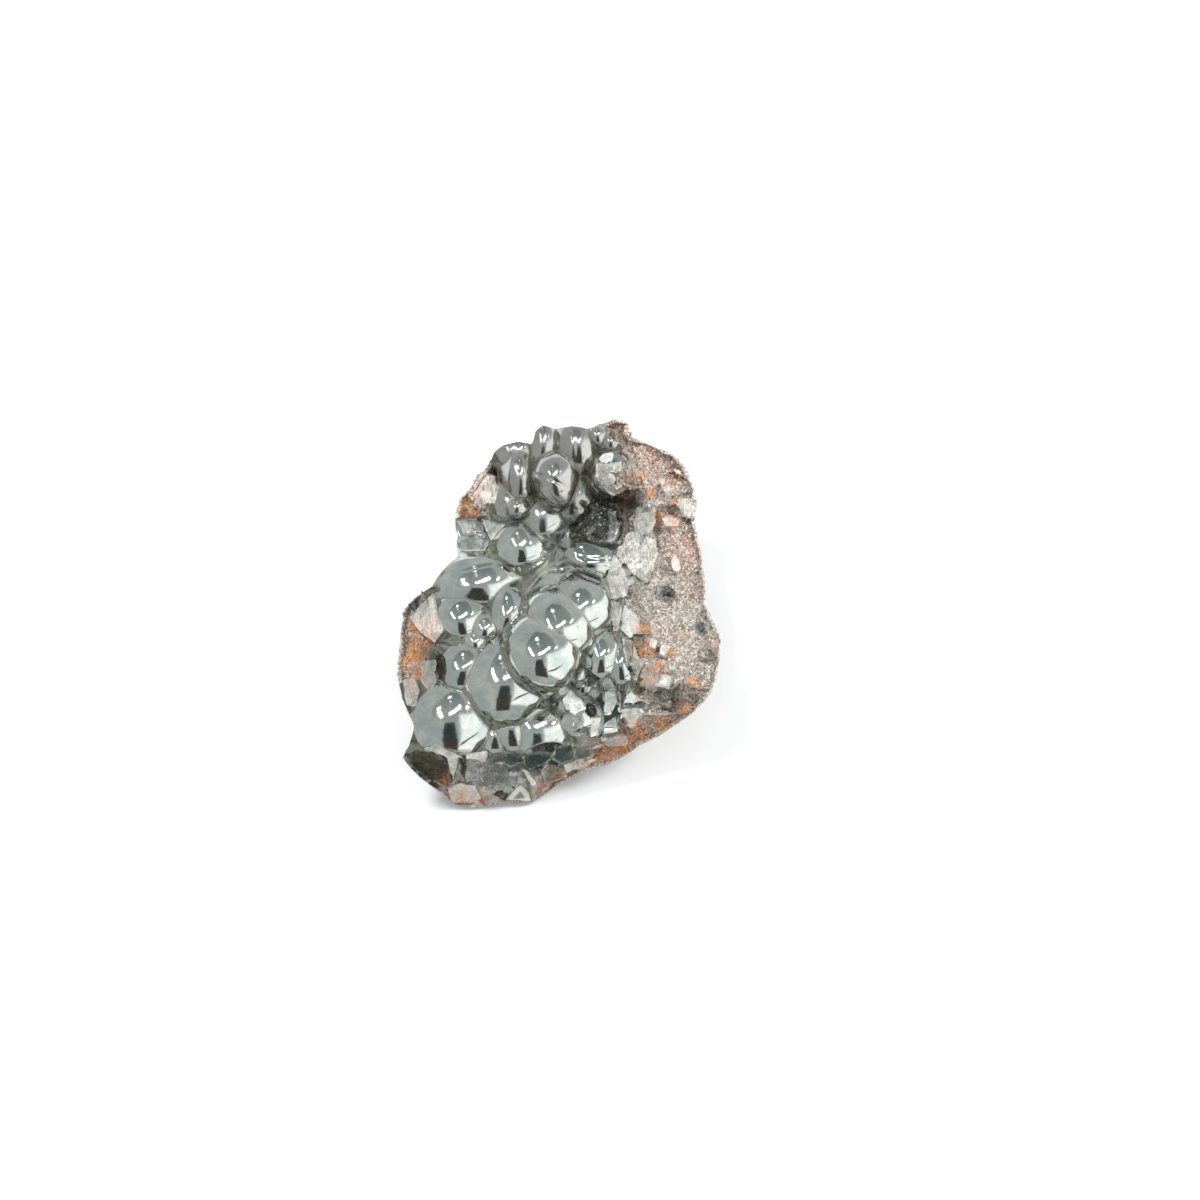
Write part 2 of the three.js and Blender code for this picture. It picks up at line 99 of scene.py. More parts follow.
# Grown domes: a, b, half width, half length, turn, top level, half depth.
DOMES = {
    "ball_neighbour": (2.4, 23.2, 4.0, 4.6, 0, 3.6, 4.4),
    "column": (-8.2, 27.6, 2.6, 4.4, 0, 4.2, 3.4),
    "bead_seat": (-9.4, 22.4, 4.0, 3.6, 0, 3.0, 3.6),
    "lobe_below_ball": (-3.6, 19.4, 3.8, 3.8, 0, 3.4, 4.0),
    "oval_lobe": (-8.2, 13.9, 5.0, 4.4, 0, 4.6, 5.2),
    "far_swell": (-9.2, 32.6, 4.0, 3.2, 0, 2.0, 3.4),
    "far_thumb": (-3.6, 34.4, 2.6, 4.2, 0, 2.8, 3.2),
    "far_fluted": (2.9, 33.8, 3.6, 4.4, 0, 4.0, 3.8),
    "far_pea": (7.7, 36.0, 1.6, 1.6, 0, 3.0, 1.6),
    "far_pea_low": (10.4, 35.0, 1.6, 1.6, 0, 3.2, 1.6),
    "pit_floor": (7.6, 18.2, 4.6, 4.2, 0, 0.4, 3.0),
    "pit_floor_low": (2.8, 15.6, 3.0, 2.6, 0, 0.2, 2.4),
    "shell_inner": (1.4, 1.4, 8.2, 8.6, 0, 5.6, 7.6),
    "shell_outer": (1.0, 1.6, 8.6, 9.6, 0, 4.4, 7.6),
    "shell_back": (6.0, 11.2, 5.0, 3.6, -12, 2.0, 3.2),
    "left_broad": (-16.8, 6.8, 7.0, 4.8, 6, 3.8, 4.8),
    "left_middle": (-20.0, -0.2, 4.8, 4.4, 0, 3.2, 4.4),
    "pea_upper": (-14.8, -2.2, 2.8, 2.6, 0, 2.9, 2.6),
    "pea_lower": (-17.0, -5.0, 2.4, 2.2, 0, 2.2, 2.3),
    "wedge_dome": (-10.6, 1.2, 3.4, 4.8, 0, 4.0, 3.8),
    "left_low": (-19.2, -10.6, 4.6, 5.0, 0, 3.0, 4.4),
    "great_left": (-11.0, -13.6, 7.6, 8.4, 0, 5.6, 7.8),
    "corner_dome": (-22.0, -22.1, 7.8, 8.0, 0, 4.0, 7.4),
    "near_a": (-13.0, -24.8, 3.2, 3.4, 0, 0.9, 3.4),
    "near_b": (-9.8, -23.4, 4.0, 4.0, 0, 1.6, 3.8),
    "near_c": (-4.4, -23.8, 5.6, 5.2, 0, 1.8, 4.6),
    "near_d": (3.6, -20.8, 3.8, 4.0, 0, 1.6, 3.7),
    "near_e": (1.6, -17.2, 2.6, 2.8, 0, 1.5, 2.6),
    "dark_knob": (4.8, -14.6, 1.7, 1.7, 0, 1.8, 1.7),
    "right_low": (8.2, -7.8, 3.8, 5.0, 0, 3.8, 4.2),
    "right_low_side": (12.0, -9.8, 3.0, 4.0, 0, 3.0, 3.3),
}
DOME_SHOULDER = 0.86     # share of its reach where a dome's straight skirt begins
DOME_SPREAD = 1.22       # a dome is this much wider than its neighbours leave in view

# Round balls that stand clear of their neighbours, laid out as the domes are.
BALLS = {
    "upper_ball": (-1.1, 26.9, 4.7, 5.9, 8, 8.2, 5.4),
    "bead": (-8.6, 21.4, 2.4, 2.4, 0, 4.2, 2.4),
    "broken_dome": (10.4, 28.4, 4.8, 5.2, 0, 5.2, 4.4),
    "great_ball": (-3.7, -7.6, 8.0, 8.8, 20, 10.8, 7.8),
    "great_crown": (-0.4, -1.6, 8.0, 7.9, 0, 9.6, 7.0),
    "great_shoulder": (4.0, 2.0, 7.2, 7.4, 0, 8.2, 6.8),
    "end_knob": (30.0, -5.4, 2.0, 2.3, 0, 1.4, 2.2),
}
BALL_SHOULDER = 0.97
BALL_SPREAD = 1.0

# Breaks that shear the near side: a, b, level of a point on the upper edge, way it faces, slope.
BREAKS = {
    "near_left": (-26.6, -28.6, 0.8, 232, 1.3),
    "near_middle": (-18.0, -29.0, 0.6, 263, 1.45),
    "near_front": (-10.0, -28.6, -0.6, 276, 1.4),
    "near_right": (-2.0, -27.0, -0.8, 285, 1.4),
    "near_rim": (16.0, -23.6, 1.8, 298, 1.7),
}

# Shell-shaped hollows: a, b, level of the mouth, mouth radius, depth, way it faces, slope.
SCOOPS = {
    "left_hollow": (-29.0, 2.2, -4.0, 2.2, 1.4, 0, 0),
    "dark_bowl": (8.3, -17.8, 0.6, 2.9, 1.2, 250, 0.1),
    "plateau_recess": (22.4, -18.8, 2.0, 1.8, 1.2, 270, 0.4),
    "plateau_pore": (21.4, 4.8, 4.8, 0.9, 0.8, 0, 0),
    "olive_lens": (23.0, 20.8, 4.9, 1.5, 0.7, 0, 0),
    "knob_gap": (28.4, -2.6, 1.4, 0.9, 1.0, 180, 0.2),
    "knob_gap_low": (30.2, -8.2, 0.8, 0.9, 0.9, 200, 0.2),
}

# Furrows on the balls: two ends, half width, depth.
FURROWS = [
    ((-4.6, 28.2), (1.6, 25.4), 0.35, 0.22),
    ((-5.2, 26.6), (-1.0, 22.6), 0.35, 0.22),
    ((-8.8, 37.2), (-8.8, 29.6), 0.8, 0.15),
    ((1.4, 38.4), (0.9, 30.2), 0.7, 0.12),
    ((3.4, 38.4), (3.2, 30.0), 0.7, 0.14),
    ((5.4, 37.6), (5.4, 30.6), 0.7, 0.12),
    ((-7.4, 2.6), (-3.4, 8.3), 0.3, 0.25),
    ((-3.4, 8.3), (2.4, 8.8), 0.3, 0.25),
    ((2.4, 8.8), (7.6, 6.0), 0.3, 0.25),
    ((3.4, 9.6), (9.6, 9.4), 0.4, 0.12),
    ((4.0, 11.6), (10.6, 11.0), 0.4, 0.10),
    ((-19.4, 8.8), (-12.2, 9.8), 0.3, 0.12),
]

# Flat and hollow breaks: sunk by, hollowed by, leans towards, lean, tone, tint (olive -1 to teal 1),
# fibres, and the corners of the outline. Each takes the slope of the ground under its corners.
FACETS = {
    "far_facet": (0.1, 0.0, 120, 0.10, 0.68, 0.0, 0.5, [
        (14.3, 18.0), (15.5, 20.8), (19.0, 21.2), (19.3, 18.5), (18.5, 15.8), (14.8, 16.8)]),
    "fibrous_break": (0.1, 0.2, 160, 0.12, 0.70, -0.2, 1.0, [
        (13.5, 16.8), (11.0, 12.5), (14.5, 7.5), (18.0, 8.0), (20.0, 12.0), (18.0, 15.5)]),
    "pale_plane": (0.2, 0.1, 200, 0.10, 0.68, 0.1, 0.4, [
        (10.9, 12.2), (14.3, 7.5), (13.5, 3.5), (10.2, 3.3), (9.6, 7.5)]),
    "silver_side": (0.1, 0.1, 90, 0.15, 0.78, 0.2, 0.0, [
        (10.3, 3.0), (12.6, 1.8), (12.3, 0.0), (11.7, -3.0), (10.6, -3.6)]),
    "pale_facet": (0.0, 0.1, 120, 0.10, 0.84, 0.0, 0.2, [
        (12.5, 0.0), (11.9, -3.0), (14.0, -4.8), (15.6, -3.8), (14.8, -0.5), (13.0, 2.0)]),
    "green_wedge": (0.1, 0.1, 200, 0.25, 0.36, -0.4, 0.2, [
        (12.2, -4.2), (14.0, -5.0), (14.7, -5.6), (14.4, -10.2), (15.2, -14.4), (13.4, -9.8)]),
    "wedge_light": (0.0, 0.1, 20, 0.15, 0.54, -0.3, 0.2, [
        (14.7, -5.6), (16.7, -9.8), (15.4, -14.4), (14.4, -10.2)]),
    "plate_right": (0.1, 0.1, 150, 0.10, 0.60, 0.0, 0.6, [
        (16.9, -10.2), (19.6, -11.6), (18.8, -14.6), (15.8, -14.6)]),
    "striated_right": (0.0, 0.1, 30, 0.20, 0.74, 0.0, 1.0, [
        (19.8, -11.8), (21.8, -12.2), (21.4, -14.6), (19.0, -14.7)]),
    "tri_pale": (0.0, 0.0, 90, 0.10, 0.92, 0.0, 0.0, [(3.7, -13.2), (4.8, -10.7), (5.1, -12.8)]),
    "tri_dark": (0.1, 0.1, 90, 0.10, 0.30, 0.0, 0.0, [
        (5.1, -10.7), (8.0, -12.7), (7.3, -14.4), (5.2, -14.0)]),
    "speck_grey": (0.0, 0.0, 90, 0.10, 0.68, 0.0, 0.0, [
        (8.2, -12.7), (9.8, -12.6), (11.1, -15.1), (8.7, -14.9)]),
    "grey_facet": (0.0, 0.1, 60, 0.12, 0.80, 0.1, 0.0, [
        (0.5, -16.9), (2.8, -14.7), (4.2, -16.7), (5.3, -18.7), (3.0, -20.0), (1.2, -18.9)]),
    "bowl_side": (0.1, 0.0, 150, 0.10, 0.78, 0.1, 0.0, [
        (9.0, -15.2), (10.8, -15.2), (11.6, -17.5), (10.2, -19.8), (9.0, -19.6)]),
    # painted shade: a gap coloured near black
    "gap_painted_shade": (0.2, 0.0, 0, 0.0, 0.20, 0.0, 0.0, [
        (11.7, -15.4), (13.0, -15.5), (12.9, -18.6), (12.2, -19.0)]),
    # painted light: a pyramid's two sides, one pale as the lit side and one dark as the shaded side
    "pyramid_lit_side_painted": (-0.3, 0.0, 80, 0.10, 0.84, 0.0, 0.0, [
        (14.3, -15.2), (17.0, -17.5), (12.7, -18.0), (13.2, -16.1)]),
    "pyramid_shaded_side_painted": (-0.2, 0.0, 270, 0.20, 0.38, 0.5, 0.0, [
        (12.8, -18.0), (17.2, -17.6), (16.7, -18.9), (13.0, -18.9)]),
    "lower_pale": (0.0, 0.1, 240, 0.10, 0.82, 0.1, 0.0, [
        (12.5, -18.9), (16.3, -18.9), (15.2, -21.9), (13.7, -22.7), (12.5, -20.5)]),
    "olive_side": (0.0, 0.0, 20, 0.20, 0.36, -0.4, 0.0, [
        (11.7, -20.0), (13.7, -22.9), (13.4, -24.7), (11.3, -22.3)]),
    "teal_top": (0.0, 0.0, 90, 0.10, 0.54, 0.4, 0.0, [
        (11.3, -20.2), (11.3, -22.3), (9.0, -22.4), (9.3, -21.5)]),
    "gem_top": (-0.1, 0.0, 90, 0.10, 0.90, 0.1, 0.0, [
        (9.0, -22.6), (11.3, -22.5), (11.8, -23.5), (9.0, -23.7)]),
    "gem_band": (0.0, 0.0, 270, 0.10, 0.46, 0.6, 0.0, [
        (9.0, -23.7), (12.0, -23.5), (12.2, -24.6), (8.7, -24.8)]),
    "gem_foot": (0.0, 0.0, 270, 0.20, 0.76, 0.3, 0.0, [
        (8.2, -25.0), (12.2, -24.6), (13.5, -25.5), (12.7, -26.7), (9.7, -26.6)]),
    "chip_a": (0.0, 0.1, 110, 0.10, 0.62, 0.3, 0.0, [
        (2.7, -20.5), (4.3, -20.4), (4.5, -22.4), (3.0, -23.2)]),
    "chip_b": (-0.1, 0.0, 20, 0.10, 1.00, 0.0, 0.0, [
        (4.5, -21.9), (6.2, -20.7), (6.3, -21.2), (4.7, -22.4)]),
    "chip_c": (0.0, 0.1, 60, 0.10, 0.82, 0.1, 0.0, [
        (6.0, -20.5), (8.0, -20.5), (8.0, -23.9), (6.3, -24.5)]),
    "chip_d": (0.1, 0.0, 260, 0.10, 0.42, 0.7, 0.0, [
        (4.2, -22.5), (6.0, -22.4), (5.8, -24.2), (4.2, -23.9)]),
    "near_olive": (0.2, 0.8, 232, 0.0, 0.26, -0.5, 0.0, [
        (-31.1, -28.5), (-28.6, -26.8), (-25.4, -27.4), (-22.8, -29.2), (-21.7, -31.5), (-21.5, -33.7),
        (-23.0, -34.8), (-25.4, -33.3), (-28.5, -31.1)]),
    "near_striated": (0.0, 0.1, 20, 0.30, 0.88, 0.0, 0.6, [
        (-22.4, -28.3), (-19.9, -28.3), (-20.6, -31.0), (-21.2, -33.6)]),
    "near_striated_right": (0.0, 0.1, 60, 0.20, 0.88, 0.0, 0.5, [
        (-18.4, -27.6), (-14.2, -27.4), (-14.4, -28.6), (-16.0, -30.4), (-18.2, -30.2)]),
    "near_teal": (0.0, 0.1, 60, 0.20, 0.40, 0.4, 0.0, [
        (-19.0, -31.0), (-16.4, -30.8), (-16.4, -33.6), (-19.2, -33.4)]),
    "near_fan": (0.0, 0.2, 260, 0.10, 0.84, 0.0, 1.0, [
        (-22.6, -34.8), (-20.0, -33.8), (-17.0, -34.5), (-15.8, -37.0), (-18.0, -38.4), (-22.0, -38.0)]),
    "near_silver": (-0.1, 0.0, 60, 0.20, 1.00, 0.0, 0.0, [
        (-11.2, -37.4), (-8.0, -34.4), (-6.2, -36.0), (-5.8, -37.6)]),
    "near_silver_core": (0.0, 0.1, 130, 0.20, 0.66, 0.0, 0.0, [
        (-9.6, -37.2), (-8.0, -35.6), (-6.9, -37.0)]),
    "dome_window": (0.0, 0.0, 60, 0.20, 0.95, 0.0, 0.0, [
        (7.7, 31.3), (8.7, 32.3), (10.2, 32.6), (10.7, 32.4), (10.5, 31.0), (9.3, 30.3), (8.2, 30.5)]),
    "dome_scale_upper": (0.0, -0.2, 250, 0.12, 0.56, 0.0, 0.4, [
        (7.1, 30.5), (8.2, 30.4), (9.3, 30.1), (10.8, 30.6), (11.2, 28.7), (9.6, 28.5), (8.5, 27.6),
        (7.8, 26.7), (7.2, 28.2)]),
    "dome_scale_lower": (-0.1, -0.3, 300, 0.15, 0.66, 0.1, 0.4, [
        (8.5, 27.5), (9.8, 28.4), (10.9, 28.2), (11.3, 27.1), (10.7, 26.3), (9.5, 25.9), (8.2, 26.3)]),
    "dome_scale_right": (0.0, -0.2, 20, 0.15, 0.60, -0.4, 0.5, [
        (10.9, 30.6), (12.2, 30.9), (12.8, 29.6), (12.4, 28.5), (11.3, 28.6)]),
    "dome_scale_foot": (0.0, -0.2, 280, 0.15, 0.62, 0.1, 0.3, [
        (8.4, 25.7), (9.5, 25.8), (10.9, 26.2), (12.4, 26.0), (13.0, 25.1), (12.2, 24.2), (10.9, 24.1),
        (9.5, 24.8)]),
    "dome_chip": (-0.1, 0.0, 90, 0.10, 0.92, 0.0, 0.0, [
        (11.1, 25.4), (12.3, 26.1), (12.5, 25.7), (11.4, 25.0)]),
    "plateau_lens": (-0.1, -0.2, 90, 0.10, 0.84, 0.0, 1.0, [
        (22.9, 12.0), (24.0, 11.2), (24.6, 9.4), (24.0, 8.2), (22.6, 8.6), (22.2, 10.4)]),
    # painted shade: the pore's floor coloured near black
    "pore_floor_painted_shade": (0.5, 0.0, 0, 0.0, 0.02, -0.3, 0.0, [
        (20.7, 5.0), (21.4, 5.4), (22.3, 4.6), (21.9, 4.1), (21.0, 4.3)]),
    "mound_crystal_a": (-0.3, 0.0, 70, 0.25, 1.0, 0.0, 0.0, [
        (22.8, 29.6), (24.2, 29.2), (25.0, 28.0), (23.4, 28.2)]),
    "mound_crystal_b": (-0.2, 0.0, 120, 0.25, 0.94, 0.0, 0.0, [
        (19.4, 26.4), (20.8, 27.6), (21.8, 26.8), (20.6, 25.8)]),
    "mound_crystal_c": (-0.1, 0.0, 20, 0.25, 0.74, 0.0, 1.0, [
        (20.2, 25.4), (22.0, 26.4), (23.0, 25.2), (21.4, 24.2)]),
    "lens_floor": (0.2, 0.2, 90, 0.10, 0.24, -0.6, 0.0, [
        (21.3, 21.0), (22.2, 21.7), (23.7, 21.8), (24.3, 21.0), (23.6, 20.1), (22.2, 20.2)]),
    "rim_facet": (0.1, 0.0, 60, 0.15, 0.66, 0.0, 1.0, [
        (24.7, 21.4), (25.2, 23.4), (26.6, 23.0), (26.9, 20.4), (26.0, 18.8), (24.9, 19.6)]),
    "sparkling_shelf": (-0.1, 0.0, 80, 0.15, 0.84, 0.0, 1.0, [
        (20.2, 19.4), (22.4, 19.6), (24.2, 18.8), (23.6, 17.2), (21.0, 17.4)]),
    "plateau_shard_a": (-0.1, 0.0, 100, 0.20, 0.76, 0.0, 1.0, [
        (18.0, -4.4), (19.8, -5.0), (19.2, -7.4), (17.6, -6.4)]),
    "plateau_shard_b": (0.0, 0.0, 40, 0.20, 0.84, 0.0, 1.0, [
        (20.0, -5.8), (21.8, -6.4), (21.0, -8.6), (19.6, -8.0)]),
    "plateau_shard_c": (0.0, 0.0, 200, 0.20, 0.60, -0.3, 1.0, [
        (21.6, -9.0), (23.6, -9.4), (23.2, -11.6), (21.4, -11.0)]),
    "white_fan": (-0.3, 0.2, 70, 0.25, 0.84, 0.0, 1.0, [
        (-30.6, -0.8), (-28.8, 1.6), (-25.6, 4.4), (-24.4, 0.0), (-23.2, -3.4), (-25.0, -6.0),
        (-28.0, -4.0)]),
    "left_teal": (0.0, 0.2, 120, 0.10, 0.56, 0.4, 0.2, [
        (-28.2, -9.2), (-24.8, -9.2), (-24.2, -13.0), (-26.0, -15.2), (-28.2, -13.0)]),
    "left_lens": (0.5, 0.3, 180, 0.10, 0.16, -0.5, 0.0, [
        (-24.6, -7.0), (-23.0, -8.5), (-22.4, -11.5), (-23.2, -14.3), (-24.6, -12.0)]),
    "left_shell": (0.0, 0.5, 210, 0.10, 0.58, 0.1, 0.4, [
        (-31.9, -13.2), (-29.4, -12.4), (-27.9, -15.0), (-28.4, -18.2), (-30.4, -18.2)]),
    "upper_left_a": (0.0, 0.1, 60, 0.15, 0.68, 0.1, 0.0, [
        (-20.8, 18.8), (-18.2, 19.2), (-17.6, 16.6), (-19.8, 16.0)]),
    "upper_left_b": (0.0, 0.1, 330, 0.15, 0.58, 0.1, 0.0, [
        (-18.0, 19.1), (-15.8, 18.6), (-15.4, 16.2), (-17.4, 16.5)]),
    "upper_left_tip": (-0.2, 0.1, 90, 0.0, 0.70, 0.0, 0.0, [
        (-16.0, 19.2), (-11.0, 18.2), (-14.0, 14.8)]),
    "upper_left_teal": (0.0, 0.2, 200, 0.10, 0.56, 0.4, 0.0, [
        (-20.6, 15.6), (-17.0, 16.0), (-14.6, 14.8), (-15.2, 12.8), (-20.2, 12.6)]),
    "round_break": (0.2, 0.4, 180, 0.15, 0.60, 0.0, 1.0, [
        (-15.6, 28.6), (-13.4, 28.4), (-12.6, 25.6), (-13.2, 22.6), (-15.4, 21.8), (-16.8, 24.4)]),
    "near_lens_pale": (0.0, 0.2, 90, 0.30, 0.90, 0.2, 0.2, [
        (-27.3, -26.3), (-24.5, -25.8), (-19.0, -28.2), (-22.2, -28.5)]),
    "near_dark_lens": (0.1, 0.1, 180, 0.40, 0.12, 0.1, 0.0, [
        (-19.5, -28.4), (-18.3, -29.0), (-19.3, -33.0), (-20.2, -31.4)]),
    "near_grey": (0.0, 0.2, 40, 0.20, 0.56, 0.1, 0.2, [
        (-18.2, -28.6), (-15.6, -29.5), (-16.2, -33.5), (-19.1, -32.8)]),
    "near_round": (0.1, 0.9, 90, 0.0, 0.44, 0.2, 0.2, [
        (-15.2, -29.9), (-13.2, -29.4), (-11.2, -29.9), (-10.2, -32.0), (-11.0, -34.2), (-13.2, -34.9),
        (-15.4, -34.0), (-16.0, -32.0)]),
    "near_strip_a": (0.2, 0.4, 90, 0.10, 0.24, 0.4, 0.0, [
        (-15.4, -29.3), (-12.0, -27.9), (-8.0, -27.7), (-7.3, -29.4), (-9.8, -30.6), (-11.2, -29.5)]),
    "near_strip_b": (0.2, 0.4, 60, 0.10, 0.18, 0.4, 0.0, [
        (-7.7, -27.7), (-4.0, -27.5), (-1.2, -27.6), (-2.4, -29.6), (-5.8, -31.2), (-7.0, -29.4)]),
    "near_streak": (-0.1, 0.0, 20, 0.30, 0.96, 0.0, 0.0, [
        (-7.6, -31.0), (-6.4, -31.4), (-4.8, -34.2), (-6.0, -34.6)]),
    "near_red": (0.0, 0.4, 300, 0.0, 0.36, -0.6, 0.2, [
        (-3.4, -31.4), (-1.6, -30.2), (0.6, -31.0), (0.9, -32.6), (-0.8, -33.6), (-3.0, -33.6)]),
    "near_blue_a": (0.1, 0.2, 100, 0.15, 0.26, 0.4, 0.0, [
        (-0.9, -26.6), (2.2, -26.0), (2.8, -28.8), (0.4, -30.0), (-1.2, -28.8)]),
    "near_blue_b": (0.1, 0.2, 60, 0.15, 0.34, 0.5, 0.0, [
        (2.7, -26.2), (6.2, -26.8), (6.8, -28.6), (3.3, -29.2)]),
    "near_pale": (0.0, 0.1, 60, 0.30, 0.82, 0.1, 0.0, [
        (0.7, -30.2), (3.2, -29.5), (3.6, -30.9), (1.3, -31.8)]),
}

# Steep breaks round the sides: bearing, reach at the foot, reach at SIDE_HEIGHT.
SIDE_BREAKS = [
    (2, 21.5, 37.5), (-38, 22.4, 43), (-78, 34.4, 48.2), (-128, 41.6, 55.5), (178, 26.5, 37.2),
    (140, 22, 32.2), (112, 26, 36.2), (88, 27.5, 37.2), (54, 26.5, 38.2), (24, 23.5, 35.8),
]
SIDE_HEIGHT = 24.0
FOOT_SHARE = 0.93

# ---- random grain ----------------------------------------------------------------------------


# Large odd numbers that stir a seed, the three counts of a cell, and the bits of what comes of them.
SEED_ODD = 2654435761
CELL_ODDS = (73856093, 19349663, 83492791)
FOLD_ODDS = (2246822519, 3266489917)


def hashed(cells, seed):
    """A random number in 0..1 for each whole-number cell: its three counts and the seed are multiplied
    by large odd numbers and combined, and their bits are folded over twice."""
    stirred = np.uint32(seed * SEED_ODD % 2**32)
    for axis, odd in enumerate(CELL_ODDS):
        stirred = stirred ^ (cells[..., axis].astype(np.int64).astype(np.uint32) * np.uint32(odd))
    for odd in FOLD_ODDS:
        stirred = (stirred ^ (stirred >> np.uint32(15))) * np.uint32(odd)
    return (stirred ^ (stirred >> np.uint32(16))).astype(np.float64) / 2**32


def ripple(points, size, seed):
    """Smooth random heights in -1..1: random values at the corners of cubes of the given size, blended
    between the eight corners with a smooth step."""
    scaled = points / size
    corner = np.floor(scaled)
    share = scaled - corner
    share = share * share * (3 - 2 * share)
    total = np.zeros(len(points))
    for step in np.ndindex(2, 2, 2):
        step = np.array(step)
        weight = np.prod(np.where(step, share, 1 - share), axis=1)
        total += weight * hashed(corner + step, seed)
    return 2 * total - 1


def layered(points, size, seed, layers=3):
    """Ripples over ripples: each layer is half the size and half the height of the one before."""
    heights = [ripple(points, size / 2**i, seed + i) / 2**i for i in range(layers)]
    return sum(heights) / sum(1 / 2**i for i in range(layers))


def scooped(points, size, seed, hollow, tilt):
    """Shell-shaped breaks: each cube of the given size has a middle, a tilt and an offset at random, and
    the surface is the lowest of their bowls, offset + tilt . d + hollow * |d|^2, with d from a middle.
    Gives the level and a random tone for the cell that is lowest."""
    scaled = points / size
    corner = np.floor(scaled)
    lowest = np.full(len(points), np.inf)
    tone = np.zeros(len(points))
    for step in np.ndindex(3, 3, 3):
        cell = corner + np.array(step) - 1
        away = np.stack([scaled[:, i] - cell[:, i] - hashed(cell, seed + i) for i in range(3)], axis=1)
        lean = sum(away[:, i] * (hashed(cell, seed + 3 + i) - 0.5) for i in range(3))
        bowl = hollow * (away**2).sum(axis=1) + 2 * tilt * lean
        nearer = bowl < lowest
        lowest = np.where(nearer, bowl, lowest)
        tone = np.where(nearer, hashed(cell, seed + 7), tone)
    return lowest * size, tone


# ---- the level field ---------------------------------------------------------------------------

FAR_OFF = 99.0


def eased(value, low, high):
    """Runs from 0 at low to 1 at high with a smooth step."""
    share = np.clip((value - low) / (high - low), 0, 1)
    return share * share * (3 - 2 * share)


def rim_at(bearing):
    """Reach and level of the rim at a bearing: straight lines between the rim's own points."""
    rim = np.array(RIM)
    order = np.argsort(np.arctan2(rim[:, 1], rim[:, 0]))
    rim = rim[order]
    at = np.arctan2(rim[:, 1], rim[:, 0])
    turn = 2 * np.pi
    at = np.concatenate([at - turn, at, at + turn])
    reach = np.tile(np.hypot(rim[:, 0], rim[:, 1]), 3)
    return np.interp(bearing, at, reach), np.interp(bearing, at, np.tile(rim[:, 2], 3))


def inside_plateau(a, b):
    """How far a point lies to the right of the plateau's inner edge."""
    edge = np.array(PLATEAU_EDGE)
    return a - np.interp(b, edge[:, 1], edge[:, 0])


def ground_level(a, b):
    """Broken ground: the crease floor, the plateau and its ledge, and round swells, run to the rim."""
    inside = eased(inside_plateau(a, b), *PLATEAU_STEP)
    below = eased(LOWER_STEP["b"] - b, 0, LOWER_STEP["width"])
    level = CREASE_LEVEL + inside * (PLATEAU_LEVEL - CREASE_LEVEL - below * LOWER_STEP["drop"])
    for a0, b0, radius, rise in SWELLS:
        level = level + rise * np.exp(-((a - a0) ** 2 + (b - b0) ** 2) / radius**2)
    reach, rim_level = rim_at(np.arctan2(b, a))
    out = eased(np.hypot(a, b) / reach, 1 - RIM_BAND, 1)
    return level + (rim_level - level) * out


def turned(a, b, row, spread):
    """A point in a row's own axes: moved to its middle, turned back, and divided by its half sizes."""
    a0, b0, half_width, half_length, turn = row[:5]
    turn = math.radians(turn)
    across = math.cos(turn) * (a - a0) + math.sin(turn) * (b - b0)
    along = -math.sin(turn) * (a - a0) + math.cos(turn) * (b - b0)
    return across / half_width / spread, along / half_length / spread


def dome_level(row, shoulder, spread, a, b):
    """A dome: half an ellipsoid out to the shoulder, then a straight skirt at the slope it has there."""
    top, half_depth = row[5:]
    out = np.hypot(*turned(a, b, row, spread))
    cap = top - half_depth * (1 - np.sqrt(np.clip(1 - out**2, 0, 1)))
    edge = top - half_depth * (1 - math.sqrt(1 - shoulder**2))
    skirt = edge - half_depth * math.tan(math.asin(shoulder)) * (out - shoulder)
    return np.where(out < shoulder, cap, skirt)


def break_level(row, a, b):
    """A break: a plane through a point that falls in one direction."""
    a0, b0, level, faces, slope = row
    way = math.radians(faces)
    return level - slope * ((a - a0) * math.cos(way) + (b - b0) * math.sin(way))


def scoop_level(row, a, b):
    """A hollow: the underside of the ball that leaves a mouth of the given radius and depth."""
    a0, b0, level, mouth, depth, faces, slope = row
    radius = (mouth**2 + depth**2) / (2 * depth)
    way = math.radians(faces)
    outward = np.array([slope * math.cos(way), slope * math.sin(way), 1.0])
    outward *= (radius - depth) / np.linalg.norm(outward)
    left = radius**2 - (a - a0 - outward[0]) ** 2 - (b - b0 - outward[1]) ** 2
    return np.where(left > 0, level + outward[2] - np.sqrt(np.maximum(left, 0)), FAR_OFF)


def within(a, b, corners):
    """True inside an outline: a line drawn rightwards from the point crosses its sides an odd number of
    times."""
    odd = np.zeros(a.shape, bool)
    for (a0, b0), (a1, b1) in zip(corners, corners[1:] + corners[:1]):
        crosses = (b0 > b) != (b1 > b)
        at = a0 + (b - b0) * (a1 - a0) / (b1 - b0 if b1 != b0 else 1.0)
        odd ^= crosses & (a < at)
    return odd


def to_line(a, b, start, end):
    """How far points are from the straight line between two ends."""
    (a0, b0), (a1, b1) = start, end
    run_a, run_b = a1 - a0, b1 - b0
    share = np.clip(((a - a0) * run_a + (b - b0) * run_b) / (run_a**2 + run_b**2), 0, 1)
    return np.hypot(a - a0 - share * run_a, b - b0 - share * run_b)


def to_outline(a, b, corners):
    """How far points are from the nearest side of an outline."""
    return np.min([to_line(a, b, *ends) for ends in zip(corners, corners[1:] + corners[:1])], axis=0)


